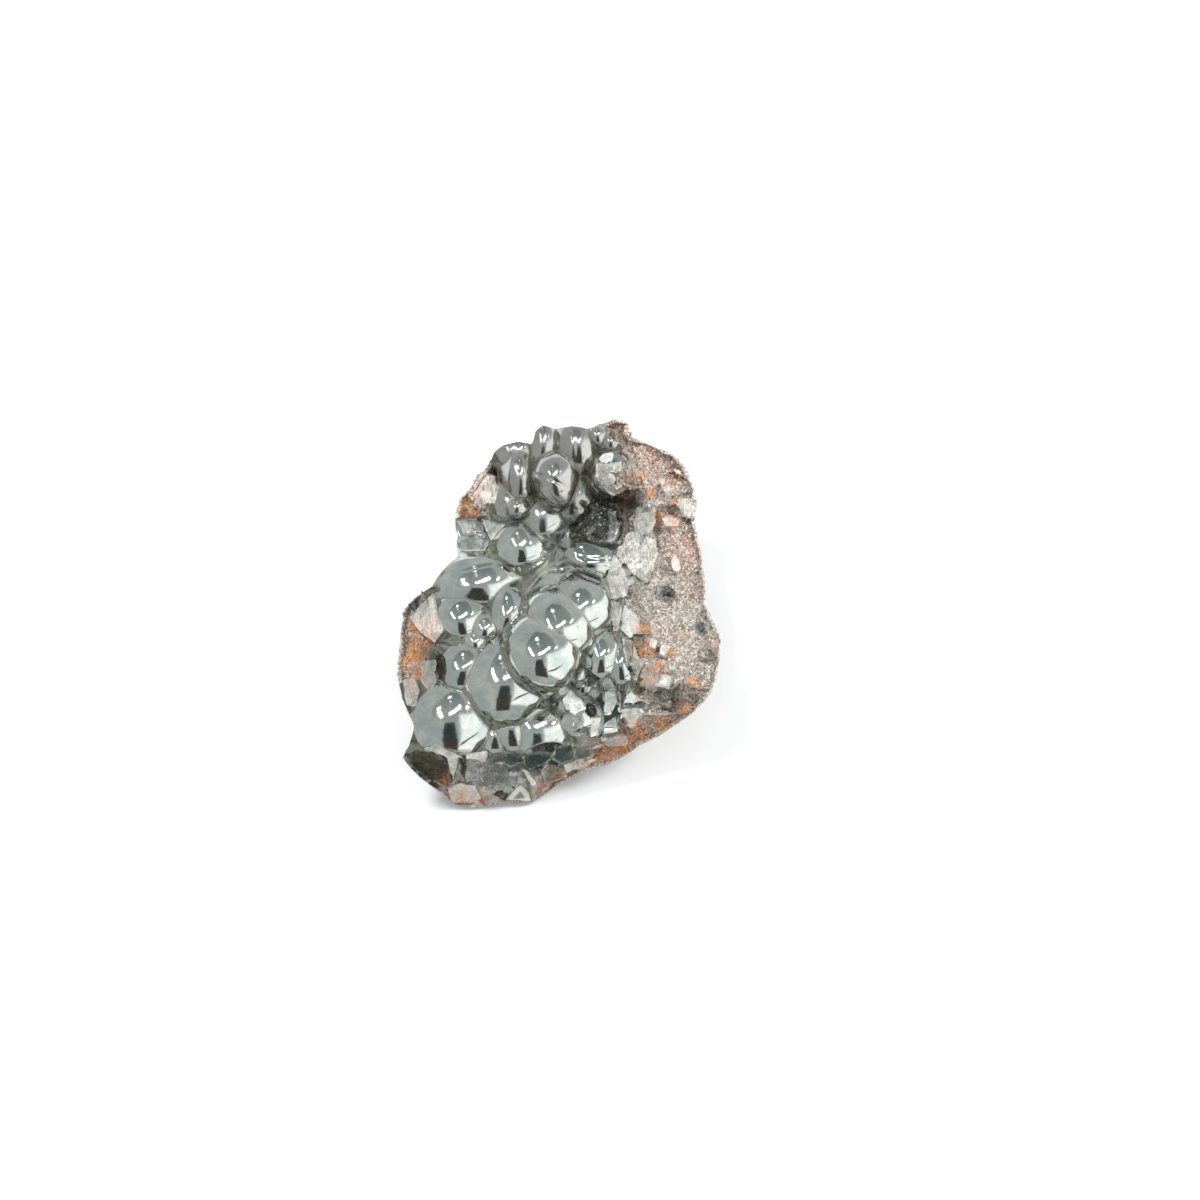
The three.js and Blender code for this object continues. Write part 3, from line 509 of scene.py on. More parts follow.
def facet_level(row, slope, a, b):
    """A flat or hollow break inside its outline: the plane under its corners, leant and sunk, with a
    bowl of the given depth. Outside it says nothing."""
    sunk, hollow, leans, lean, _, _, _, corners = row
    middle = np.mean(corners, axis=0)
    reach = np.hypot(*(np.array(corners) - middle).T).mean()
    way = math.radians(leans)
    off_a, off_b = a - middle[0], b - middle[1]
    plane = slope[0] * a + slope[1] * b + slope[2] - lean * (off_a * math.cos(way) + off_b * math.sin(way))
    bowl = hollow * (1 - (off_a**2 + off_b**2) / reach**2)
    return np.where(within(a, b, corners), plane - sunk - bowl, np.nan)


FACET_RISE = 0.7         # a facet rises no higher than this over the forms that it breaks

# Every form's kind and its own level rule, in the order in which they are laid over each other.
GROUND, DOME, BREAK, SCOOP, FACET = range(5)
FORMS = (
    [(GROUND, ground_level)]
    + [(DOME, lambda a, b, r=r: dome_level(r, DOME_SHOULDER, DOME_SPREAD, a, b)) for r in DOMES.values()]
    + [(DOME, lambda a, b, r=r: dome_level(r, BALL_SHOULDER, BALL_SPREAD, a, b)) for r in BALLS.values()]
    + [(BREAK, lambda a, b, r=r: break_level(r, a, b)) for r in BREAKS.values()]
    + [(SCOOP, lambda a, b, r=r: scoop_level(r, a, b)) for r in SCOOPS.values()]
)


def strayed(a, b):
    """Shifts plan points a little at random, so that no outline is perfectly round or straight."""
    flat = np.stack([np.ravel(a), np.ravel(b), np.zeros(np.size(a))], axis=1)
    shift_a, shift_b = (ripple(flat, STRAY["size"], seed).reshape(np.shape(a)) for seed in STRAY["seeds"])
    return a + STRAY["reach"] * shift_a, b + STRAY["reach"] * shift_b


def swayed(a, b):
    """Shifts plan points along long, smooth waves, so that domes aren't perfectly round yet stay sleek."""
    turn = 2 * np.pi / SWAY["wave"]
    skew_a, skew_b = SWAY["skews"]
    shift_a = np.sin(turn * (b + skew_a * a) + SWAY["starts"][0])
    shift_b = np.sin(turn * (a + skew_b * b) + SWAY["starts"][1])
    return a + SWAY["reach"] * shift_a, b + SWAY["reach"] * shift_b


def furrow_depth(a, b):
    """The deepest of the furrows: depth * exp(-(distance to the line / half width)^2)."""
    return np.max([
        depth * np.exp(-((to_line(a, b, start, end) / width) ** 2)) for start, end, width, depth in FURROWS
    ], axis=0)


def level_field(a, b):
    """The level, the form that makes it and how far the next form lies below: the highest of ground and
    domes, then the lowest of that, the breaks and the hollows, then each facet inside its outline."""
    gently, strayed_here = swayed(a, b), strayed(a, b)
    level = np.full(np.shape(a), -FAR_OFF)
    second = level.copy()
    form = np.zeros(np.shape(a), int)
    for index, (kind, shape) in enumerate(FORMS):
        here = shape(*(gently if kind == DOME else strayed_here))
        if kind == FACET:
            wins = ~np.isnan(here)
            here = np.minimum(here, level + FACET_RISE)
            second = np.where(wins, here - FAR_OFF, second)
        elif kind in (BREAK, SCOOP):
            wins = here < level
            apart = np.abs(level - here)
            second = np.where(wins, here - apart, np.maximum(second, level - apart))
        else:
            wins = here > level
            second = np.where(wins, level, np.maximum(second, here))
        level = np.where(wins, here, level)
        form = np.where(wins, index, form)
    grown = np.array([kind for kind, _ in FORMS])[form] == DOME
    return level - np.where(grown, furrow_depth(*gently), 0), form, level - second


def facet_form(row):
    """A facet's own level rule, on the plane that fits the ground under its corners best."""
    corners = np.array(row[-1])
    levels = level_field(corners[:, 0], corners[:, 1])[0]
    slope = np.linalg.lstsq(np.column_stack([corners, np.ones(len(corners))]), levels, rcond=None)[0]
    return FACET, lambda a, b: facet_level(row, slope, a, b)


FORMS = FORMS + [facet_form(row) for row in FACETS.values()]
KINDS = np.array([kind for kind, _ in FORMS])
FIRST_FACET = len(FORMS) - len(FACETS)


def placed(a, b, height):
    """Plan to world, from a height along the line to the camera."""
    up, back = math.sin(PLAN_LEAN), math.cos(PLAN_LEAN)
    return np.stack([a, b * back - height * up, b * up + height * back], axis=-1) + FACE_CENTRE


def to_world(a, b, level):
    """The face falls away towards its far end, and bends away further along its upper half."""
    return placed(a, b, level - b * FACE_FALL - SAG["depth"] * eased(b, SAG["from"], SAG["to"]))


def held_by_sides(points):
    """Keeps points inside the steep side breaks: each plane's reach changes with the height."""
    points = points.copy()
    for bearing, foot, high in SIDE_BREAKS:
        way = np.array([math.cos(math.radians(bearing)), math.sin(math.radians(bearing))])
        limit = foot + (high - foot) * points[:, 2] / SIDE_HEIGHT
        over = np.maximum(points[:, :2] @ way - limit, 0)
        points[:, :2] -= over[:, None] * way
    return points


# ---- the face's grid -----------------------------------------------------------------------------

FACE_POINTS = 248        # points along each side of the face's square grid
EVEN_ROUNDS = 30
CREASE_HALVINGS = 8
BRIDGE_COSINE = 0.87       # a triangle that leans further off its dome bridges a step


def face_plan():
    """A square grid pressed into the rim: a point's ring is its larger coordinate, and its place along
    the ring turns into a bearing, so that rings keep the rim's outline."""
    line = np.linspace(-1, 1, FACE_POINTS)
    x, y = np.meshgrid(line, line, indexing="ij")
    # the elliptical map keeps cells even near the corners
    u = x * np.sqrt(1 - y * y / 2)
    v = y * np.sqrt(1 - x * x / 2)
    bearing = np.arctan2(v, u)
    out = np.hypot(u, v)
    reach, _ = rim_at(bearing)
    return out * reach * np.cos(bearing), out * reach * np.sin(bearing)


def evened(a, b):
    """Evens out the grid's cells: in each round a point goes half of the way to the mean of its four
    neighbours. The rim stays."""
    for _ in range(EVEN_ROUNDS):
        for plan in (a, b):
            around = plan[2:, 1:-1] + plan[:-2, 1:-1] + plan[1:-1, 2:] + plan[1:-1, :-2]
            plan[1:-1, 1:-1] = plan[1:-1, 1:-1] / 2 + around / 8
    return a, b


def snapped(a, b):
    """Moves points onto the creases: where two neighbours belong to different forms, the border between
    them is found by halving, and the nearer of the two goes there."""
    form = level_field(a, b)[1]
    flat = np.arange(a.size).reshape(a.shape)
    pairs = np.concatenate([
        np.stack([flat[:-1].ravel(), flat[1:].ravel()], axis=1),
        np.stack([flat[:, :-1].ravel(), flat[:, 1:].ravel()], axis=1),
    ])
    plan = np.stack([a.ravel(), b.ravel()], axis=1)
    form = form.ravel()
    pairs = pairs[form[pairs[:, 0]] != form[pairs[:, 1]]]
    near, far = plan[pairs[:, 0]], plan[pairs[:, 1]]
    low, high = np.zeros(len(pairs)), np.ones(len(pairs))
    for _ in range(CREASE_HALVINGS):
        middle = (low + high) / 2
        at = near + (far - near) * middle[:, None]
        same = level_field(at[:, 0], at[:, 1])[1] == form[pairs[:, 0]]
        low, high = np.where(same, middle, low), np.where(same, high, middle)
    border = near + (far - near) * high[:, None]
    to_first = high < 0.5
    mover = np.where(to_first, pairs[:, 0], pairs[:, 1])
    cost = np.where(to_first, high, 1 - high)
    inner = np.zeros(a.shape, bool)
    inner[1:-1, 1:-1] = True
    allowed = inner.ravel()[mover]
    mover, cost, border = mover[allowed], cost[allowed], border[allowed]
    order = np.argsort(-cost)
    plan[mover[order]] = border[order]
    on_crease = np.zeros(a.size, bool)
    on_crease[mover] = True
    return plan[:, 0].reshape(a.shape), plan[:, 1].reshape(a.shape), on_crease.reshape(a.shape)


def grid_faces(index, on_crease):
    """Two triangles for each square of the grid, cut along the diagonal that follows a crease."""
    p, q = index[:-1, :-1].ravel(), index[1:, :-1].ravel()
    r, s = index[1:, 1:].ravel(), index[:-1, 1:].ravel()
    first = on_crease[:-1, :-1].ravel() & on_crease[1:, 1:].ravel()
    second = on_crease[1:, :-1].ravel() & on_crease[:-1, 1:].ravel()
    cut = (second & ~first)[:, None]
    one = np.where(cut, np.stack([p, q, s], 1), np.stack([p, q, r], 1))
    two = np.where(cut, np.stack([q, r, s], 1), np.stack([p, r, s], 1))
    return np.concatenate([one, two])


# ---- the whole stone ------------------------------------------------------------------------------

SIDE_ROWS = 60
BASE_RINGS = 3


def rim_loop():
    """The numbers of the grid's edge points in order, going round from the first corner."""
    n = FACE_POINTS
    flat = np.arange(n * n).reshape(n, n)
    return np.concatenate([flat[:-1, 0], flat[-1, :-1], flat[:0:-1, -1], flat[0, :0:-1]])


def strip_faces(upper, lower):
    """A closed band of squares between two loops of equal length, two triangles each."""
    upper_next, lower_next = np.roll(upper, -1), np.roll(lower, -1)
    return np.concatenate([
        np.stack([upper, lower, lower_next], 1),
        np.stack([upper, lower_next, upper_next], 1),
    ])


def halving_faces(upper, lower):
    """A closed band between a loop and one with half its points: three triangles for two squares."""
    u0, u1, u2 = upper[0::2], upper[1::2], np.roll(upper[0::2], -1)
    l0, l1 = lower, np.roll(lower, -1)
    return np.concatenate([
        np.stack([u0, l0, u1], 1), np.stack([u1, l0, l1], 1), np.stack([u1, l1, u2], 1),
    ])


def stone_surface():
    """The stone's points and triangles: the face's grid, the sides that hang from its rim as rows of
    the rim drawn in and flattened, and rings that close the base. Also gives each face point's plan
    place, how far the next form lies below it, and how many triangles the face has."""
    a, b = evened(*face_plan())
    a, b, on_crease = snapped(a, b)
    level, _, gap = level_field(a, b)
    face = held_by_sides(to_world(a, b, level).reshape(-1, 3))
    loop = rim_loop()
    index = np.arange(len(face)).reshape(a.shape)
    face_triangles = grid_faces(index, on_crease)
    faces = [face_triangles]
    points = [face]
    rim = face[loop][::2]
    upper = loop
    count = len(face)
    for row in range(1, SIDE_ROWS + 1):
        fallen = row / SIDE_ROWS
        share = 1 + (FOOT_SHARE - 1) * fallen
        ring = rim * np.array([share, share, 1 - fallen])
        points.append(held_by_sides(ring))
        lower = count + np.arange(len(ring))
        faces.append(halving_faces(upper, lower) if row == 1 else strip_faces(upper, lower))
        upper, count = lower, count + len(ring)
    foot = points[-1]
    for ring in range(1, BASE_RINGS + 1):
        points.append(foot * (1 - ring / (BASE_RINGS + 1)))
        lower = count + np.arange(len(foot))
        faces.append(strip_faces(upper, lower))
        upper, count = lower, count + len(foot)
    points.append(np.zeros((1, 3)))
    faces.append(np.stack([upper, np.full(len(upper), count), np.roll(upper, -1)], 1))
    plan = np.stack([a.ravel(), b.ravel()], axis=1)
    return np.concatenate(points), np.concatenate(faces), plan, gap.ravel(), len(face_triangles)


NORMAL_STEP = 0.02       # how far apart levels are read for their slope
TINY = 1e-12             # keeps a direction without a length from being divided by zero


def triangle_normals(points, faces):
    """Each triangle's direction outwards, longer for a larger one."""
    corners = points[faces]
    return np.cross(corners[:, 1] - corners[:, 0], corners[:, 2] - corners[:, 0])


def unit(ways):
    """Directions drawn out or in to a length of one."""
    return ways / np.maximum(np.linalg.norm(ways, axis=-1, keepdims=True), TINY)


def grown_normals(points, plan, faces, form):
    """Normals of the grown triangles' corners, worked out from each dome's own rule: the level's slopes
    over a short step give two directions along the skin, and their cross product points out of it.
    They stay zero off the domes, and where a triangle bridges a step and leans away from the rule."""
    normals = np.zeros((len(faces), 3, 3))
    for index in np.flatnonzero(KINDS == DOME):
        here = np.flatnonzero(form == index)
        a, b = np.moveaxis(plan[faces[here]], -1, 0)

        def skin(shift_a, shift_b):
            at = (a + shift_a, b + shift_b)
            return to_world(*at, FORMS[index][1](*swayed(*at)) - furrow_depth(*swayed(*at)))

        along = skin(NORMAL_STEP, 0) - skin(-NORMAL_STEP, 0)
        up = skin(0, NORMAL_STEP) - skin(0, -NORMAL_STEP)
        normals[here] = unit(np.cross(along, up))
    flat = unit(triangle_normals(points, faces))
    agrees = (normals @ flat[:, :, None])[..., 0].min(axis=1) > BRIDGE_COSINE
    return np.where(agrees[:, None, None], normals, 0)


def point_normals(points, faces):
    """Each point's direction outwards: the sum of its triangles' directions, at a length of one."""
    normal = triangle_normals(points, faces)
    total = np.zeros_like(points)
    for corner in range(3):
        for axis in range(3):
            total[:, axis] += np.bincount(faces[:, corner], normal[:, axis], len(points))
    return unit(total)


def spots(a, b, rows):
    """Soft round spots: the highest of exp(-(distance / radius)^2) * strength over the rows."""
    return np.max([
        strength * np.exp(-((a - a0) ** 2 + (b - b0) ** 2) / radius**2) for a0, b0, radius, strength in rows
    ], axis=0)


# Soft round spots on the face: a, b, radius, strength. These are rust stains.
RUST = [
    (15.6, 27.8, 1.2, 1.0), (17.4, 24.6, 1.4, 0.9), (12.9, 23.6, 0.9, 1.0), (19.5, 19.2, 1.2, 1.0),
    (23.7, 22.9, 1.1, 1.0), (15.8, -2.5, 1.2, 1.0), (16.5, -6.7, 1.8, 1.0), (18.8, -10.5, 2.0, 1.0),
    (17.0, -13.4, 1.8, 0.6), (14.8, -22.4, 1.8, 1.0), (21.7, -7.0, 1.2, 0.8), (27.5, -14.0, 1.8, 0.9),
    (-19.6, 21.4, 1.8, 1.0), (-19.2, 24.2, 1.6, 1.0), (-30.4, -7.6, 3.6, 0.9),
    (-29.0, -11.6, 2.0, 0.9), (-27.2, -4.8, 2.2, 0.8), (-30.4, -2.4, 1.8, 0.8),
    (-27.5, -14.0, 1.2, 0.8), (-31.6, 2.6, 1.2, 0.9), (-28.4, 5.0, 1.4, 0.8), (8.4, -28.4, 2.8, 1.0),
    (12.6, -27.0, 3.0, 1.0), (-19.5, -36.4, 1.8, 0.8), (-15.0, -38.6, 1.6, 0.9),
    (-20.8, -38.0, 1.6, 0.9), (-23.0, -33.6, 1.6, 0.9), (-8.0, -37.8, 2.0, 0.6),
    (4.6, -30.8, 1.6, 0.8), (1.0, -32.6, 1.8, 0.7), (21.0, -22.6, 2.0, 0.9), (17.0, -25.0, 2.0, 0.9),
    (25.4, -19.8, 1.8, 0.9), (-12.4, 27.0, 0.9, 0.6), (-11.8, 30.0, 0.9, 0.6), (25.0, -3.0, 1.6, 0.4),
    (24.6, 27.8, 1.6, 0.5),
]
# Pink, clayey places of the matrix.
PINK = [
    (9.6, 37.6, 2.8, 1.0), (19.0, 32.4, 3.6, 1.0), (23.6, 28.6, 3.2, 0.9), (25.4, 13.4, 4.0, 1.0),
    (23.0, 18.4, 2.4, 0.9), (20.6, 26.0, 2.2, 0.6), (-26.0, -2.6, 2.6, 0.5), (-17.6, 25.6, 3.0, 0.6),
    (31.6, -6.0, 1.6, 0.9), (13.4, 25.2, 2.4, 0.8), (27.4, 6.6, 2.4, 0.7), (-30.6, -4.0, 2.0, 0.6),
    (20.2, -1.8, 2.2, 0.5), (15.2, 34.6, 3.0, 0.9), (14.6, -24.6, 2.6, 0.8), (19.6, -22.0, 2.6, 0.8),
    (25.0, -18.0, 2.6, 0.8), (-29.6, -13.0, 2.4, 0.7), (-20.0, 22.6, 2.6, 0.8),
    (-15.4, -37.8, 2.4, 0.9), (-22.0, -37.2, 1.8, 0.9), (-3.4, -35.6, 2.2, 0.9),
    (-8.6, -38.0, 2.2, 0.6), (0.0, -33.4, 2.0, 0.7), (20.6, -8.6, 3.6, 0.4),
]
# Dark places: mostly painted shade laid into hollows, gaps and the sunken pit; a few, such as the small
# knob, are dark skin.
DARK = [
    (7.6, 18.4, 6.0, 1.0), (13.4, 22.6, 2.8, 1.0), (3.0, 15.6, 2.4, 0.6), (1.6, 21.2, 2.6, 0.7),
    (4.8, -14.6, 1.8, 1.0), (23.4, -17.2, 3.0, 0.9), (19.4, -16.6, 2.6, 0.8), (27.4, -17.4, 2.0, 0.7),
    (-27.4, -6.8, 2.4, 0.7), (-28.6, 2.0, 2.6, 0.9), (6.8, -17.8, 1.6, 0.9), (22.4, -18.9, 1.8, 1.0),
    (21.5, 4.7, 0.8, 1.0), (2.0, -24.0, 1.0, 0.3), (28.4, -2.6, 0.7, 0.4), (30.2, -8.2, 0.7, 0.5),
    (23.0, 20.8, 1.4, 0.9), (0.0, 10.8, 1.6, 0.5), (5.0, 9.8, 1.6, 0.5),
]
# Places where the grown skin is worn down to matrix, and where it is a dark, chipped pit.
WORN = [(14.8, 28.4, 3.8, 1.0), (30.2, -5.4, 3.4, 1.0), (12.0, 36.4, 2.0, 1.0)]
PITTED = [(7.8, 18.4, 5.8, 1.0), (13.0, 22.4, 3.2, 1.0), (3.2, 16.4, 2.2, 1.0)]
SPOT_LIMIT = 0.5         # skin is worn or pitted where such a spot is stronger than this
SPOT_STRAY = {"reach": 0.25, "size": 1.6, "seed": 91}     # how far the borders of these places stray
PIT = {"tone_share": 0.5, "tint": -0.2}
LEFT_MATRIX = {"a": -23.6, "b": 19.8, "a_high": -10.6}     # matrix lies left of a, and of a_high above b
GROWN_FROM = -26.0       # between the domes the ground is grown too, down to here
PLAIN_TONE = 0.5         # tone of all that is no facet

EDGE_WIDTH = 0.16            # facets chip pale, with a painted edge highlight, within this of their outlines
CREASE_WIDTH = 0.14          # grime and painted crease shade gather where the next form lies no more than this below
SHADE_REACH = 0.72           # from the darkest to the palest of the small breaks
SIDE_MATRIX_SHARE = 0.66     # the rest of the sides' great breaks are bare, glassy ones
HOLLOW_DEPTH = (0.15, 0.8)   # depth in the relief where painted hollow shade and painted ridge light begin, and where they are full

# Shell-shaped breaks: the size of a shell, seed, hollow and tilt.
SHELLS = {
    "great": (9.0, 47, 0.5, 0.6),
    "ledge": (6.0, 61, 0.4, 0.7),
    "lump": (3.2, 11, 0.5, 0.6),
    "chip": (2.6, 23, 0.5, 0.6),
    "grain": (1.0, 83, 0.6, 0.5),
}
# What the relief of each ground is made of: shells, the share of their depth, and the mean level of
# those shells, which is taken off again so that the stone keeps its size.
MATRIX_RELIEF = [("ledge", 0.4, 1.5), ("lump", 0.55, 0.8), ("grain", 0.5, 0.25)]
CRUST_RELIEF = {"shells": "chip", "share": 0.5, "sunk": 0.3}
SIDE_RELIEF = {"shells": "great", "share": 0.5, "sunk": 1.2}
MATRIX_GRAIN = {"depth": 0.3, "size": 1.4, "seed": 31}
FACET_GRAIN = {"depth": 0.02, "size": 1.2, "seed": 67}

# Where the relief dies down.
GAP_CALM = 0.5       # towards a crease: how far the next form lies below
RIM_CALM = 0.05      # towards the rim of the face: share of the reach
FOOT_CALM = 2.0      # towards the resting break: height
SIDE_TAPER = 24      # towards the top of the sides: rows below the rim
BARE_ROWS = (8, 16)  # rows below the rim where bare breaks begin and where they are full


def side_row(index, first):
    """How many rows below the rim a point lies, from its number and that of the sides' first point."""
    return (index - first) * 2 // len(rim_loop())


def face_facts(points, faces, plan, count):
    """What each triangle is made of: its shares of grown skin and of matrix, its tone, tint and fibres,
    and its form. The face's own triangles come first, and count says how many they are."""
    middle = points[faces[:count]].mean(axis=1)
    a, b = plan[faces[:count]].mean(axis=1).T
    form = np.full(len(faces), -1)
    form[:count] = level_field(a, b)[1]
    kind = KINDS[form[:count]]
    right = inside_plateau(a, b) > PLATEAU_STEP[0]
    left = a < np.where(b < LEFT_MATRIX["b"], LEFT_MATRIX["a"], LEFT_MATRIX["a_high"])
    matrix = ((kind == GROUND) & (left | right)) | ((kind == BREAK) & right)
    skin = kind == DOME
    stray = SPOT_STRAY["reach"] * ripple(middle, SPOT_STRAY["size"], SPOT_STRAY["seed"])
    matrix |= skin & (spots(a, b, WORN) + stray > SPOT_LIMIT)
    skin |= (kind == GROUND) & ~matrix & (b > GROWN_FROM)
    pitted = skin & (spots(a, b, PITTED) + stray > SPOT_LIMIT)

    def with_sides(values, elsewhere):
        """The face's values, followed by one value for all the other triangles."""
        return np.concatenate([values, np.full(len(faces) - count, elsewhere)]).astype(float)

    facts = {"grown": with_sides(skin & ~pitted & ~matrix, 0), "matrix": with_sides(matrix, 1)}
    facet = np.maximum(form[:count] - FIRST_FACET, 0)
    for name, column, plain in (("tone", 4, PLAIN_TONE), ("tint", 5, 0.0), ("fibre", 6, 0.0)):
        values = np.array([row[column] for row in FACETS.values()])
        facts[name] = with_sides(np.where(kind == FACET, values[facet], plain), plain)
    facts["tone"][:count][pitted] *= PIT["tone_share"]
    facts["tint"][:count][pitted] = PIT["tint"]
    return facts, form


def facet_edges(plan):
    """Marks the points along the inner edges of facets, where the stone chips pale and a highlight is
    painted.
    """
    edge = np.zeros(len(plan))
    form = level_field(*plan.T)[1]
    for index, row in enumerate(FACETS.values(), FIRST_FACET):
        here = np.flatnonzero(form == index)
        edge[here] = np.exp(-to_outline(*strayed(*plan[here].T), row[-1]) / EDGE_WIDTH)
    return edge


def broken_relief(points, matrix, crust, facet, side):
    """How far the breaks raise each point, from its shares of matrix, crust, facet and side. Also gives
    the random tones of the small and of the great shells."""
    shells = {name: scooped(points, *row) for name, row in SHELLS.items()}
    grain, scales = (
        row["depth"] * layered(points, row["size"], row["seed"]) for row in (MATRIX_GRAIN, FACET_GRAIN)
    )
    small, great = shells[CRUST_RELIEF["shells"]], shells[SIDE_RELIEF["shells"]]
    rough = matrix * (sum(share * shells[name][0] for name, share, _ in MATRIX_RELIEF) + grain)
    rough += crust * CRUST_RELIEF["share"] * small[0] + side * SIDE_RELIEF["share"] * great[0]
    sunk = sum(share * level for _, share, level in MATRIX_RELIEF)
    rough -= matrix * sunk + crust * CRUST_RELIEF["sunk"] + side * SIDE_RELIEF["sunk"]
    rough += facet * scales
    return rough, small[1], great[1]


def finished_stone():
    """The stone with its relief moved along the normals, deep on broken ground and almost none on grown
    domes. Gives points, triangles, the marks of both, each triangle's form and the domes' normals."""
    points, faces, plan, face_gap, count = stone_surface()
    facts, form = face_facts(points, faces, plan, count)
    total = len(points)
    normals = point_normals(points, faces)
    touching = np.maximum(np.bincount(faces.ravel(), minlength=total), 1)

    def shared(values):
        """A triangle's value handed to its corners: the mean of those that meet there."""
        return np.bincount(faces.ravel(), np.repeat(values, 3), total) / touching

    matrix, grown = shared(facts["matrix"]), shared(facts["grown"])
    facet = shared((form >= FIRST_FACET).astype(float))
    side = np.arange(total) >= len(plan)
    crust = np.clip(1 - matrix - grown - facet, 0, 1)
    rough, shade, bare = broken_relief(points, matrix, crust, facet, side)

    gap = np.full(total, FAR_OFF)
    gap[:len(plan)] = face_gap
    row = side_row(np.arange(total), len(plan))
    reach, _ = rim_at(np.arctan2(plan[:, 1], plan[:, 0]))
    rough[:len(plan)] *= eased(1 - np.hypot(*plan.T) / reach, -RIM_CALM, RIM_CALM)
    side_calm = np.where(side, eased(points[:, 2], 0, FOOT_CALM) * eased(row, 0, SIDE_TAPER), 1)
    rough *= eased(gap, 0, GAP_CALM) * side_calm
    points = points + normals * rough[:, None]
    points[:, 2] = np.maximum(points[:, 2], 0)

    def on_face(values):
        """The face's values, with none on the sides and the base."""
        return np.concatenate([values, np.zeros(total - len(plan))])

    stains = {
        # painted shade in the relief's hollows and painted light on its ridges
        "hollow": matrix * eased(-rough, *HOLLOW_DEPTH),
        "ridge": matrix * eased(rough, *HOLLOW_DEPTH),
        # grime and painted shade along the creases
        "crease": on_face(np.exp(-face_gap / CREASE_WIDTH)),
        # pale chipped edges, partly a painted edge highlight
        "edge": on_face(facet_edges(plan)),
        "shade": SHADE_REACH * (shade - 0.5) * (facet == 0),
        "bare": side * (bare > SIDE_MATRIX_SHARE) * eased(row, *BARE_ROWS),
        "rust": on_face(spots(*plan.T, RUST)),
        "pink": on_face(spots(*plan.T, PINK)),
        # painted shade in hollows, gaps and the pit, and some dark skin
        "dark": on_face(spots(*plan.T, DARK)),
    }
    skin = grown_normals(points, plan, faces[:count], np.where(facts["grown"][:count] > 0, form[:count], 0))
    return points, faces, facts, stains, form, skin


# ---- materials -------------------------------------------------------------------------------------

# Cloudy noises: the size of their lumps in mm, how many finer layers they have, and how rough those are.
NOISES = {
    "haze": (4.0, 6.0, 0.7), "tarnish": (0.5, 5.0, 0.8), "dust": (1.1, 6.0, 0.7),
    "skin": (1.3, 5.0, 0.65), "clouds": (1.7, 6.0, 0.7), "mottle": (0.42, 4.0, 0.8),
    "threads": (0.28, 3.0, 0.7), "break": (0.7, 5.0, 0.7), "chalk": (1.8, 5.0, 0.7),
    "edge rust": (0.8, 4.0, 0.7), "painted_glint": (0.6, 4.0, 0.8), "dirt_and_crease_shade": (0.7, 3.0, 0.55),
    "matrix clouds": (3.4, 6.0, 0.65), "matrix mottle": (1.2, 5.0, 0.7),
    "matrix specks": (0.42, 2.0, 0.8), "grains": (0.6, 5.0, 0.75), "veins": (1.9, 6.0, 0.75),
    "pores": (0.9, 3.0, 0.6),
}
SHARD_CELLS, GLINT_CELLS = 0.8, 0.45
THREADS = {"turn": 35, "drawn": 7.0}
BUMPS = {"grains": 0.5, "shards": 0.3, "threads": 0.05, "break": 0.09, "skin": 0.015}

# Colours in display values 0..255.
COLOURS = {
    "skin": (170, 178, 174), "skin haze": (200, 203, 195), "far skin": (152, 146, 140),
    "tarnish": (120, 124, 112), "dark break": (26, 28, 22), "pale break": (244, 246, 238),
    "teal": (108, 138, 140), "olive": (92, 84, 56), "chipped edge and painted highlight": (232, 230, 220),
    # the chipped edges' colour also paints an edge highlight
    "fibre": (246, 243, 236), "between fibres": (118, 110, 96), "matrix": (214, 204, 190),
    "pale matrix": (238, 231, 222), "dark shard": (128, 116, 102), "white shard": (250, 248, 244),
    "dark matrix": (150, 138, 122), "light matrix": (234, 229, 221), "tan": (204, 170, 132),
    "pink": (230, 164, 140), "painted ridge light": (240, 235, 226), "hollow": (104, 82, 60),
    # the ridge and hollow colours on the next line are painted light and painted shade
    "rust": (216, 132, 76), "ochre": (246, 190, 112), "dark speck": (66, 57, 48),
    "white speck": (250, 248, 243), "pore": (48, 40, 34), "rusty edge": (212, 138, 84),
    # the pore colour is painted shade inside pits
    "pink edge": (204, 122, 104), "painted recess shade": (40, 43, 36), "painted_glint": (206, 212, 206),
    # painted shade for the dark places, and the colour of the painted glints
    "dirt_and_crease_shade": (96, 84, 52),
# the crease colour: grime and painted shade
}


def srgb(red, green, blue):
    """A colour given in display values 0..255 as the linear values that a shader takes."""
    def linear(value):
        value /= 255
        return value / 12.92 if value <= 0.04045 else ((value + 0.055) / 1.055) ** 2.4
    return (linear(red), linear(green), linear(blue), 1.0)


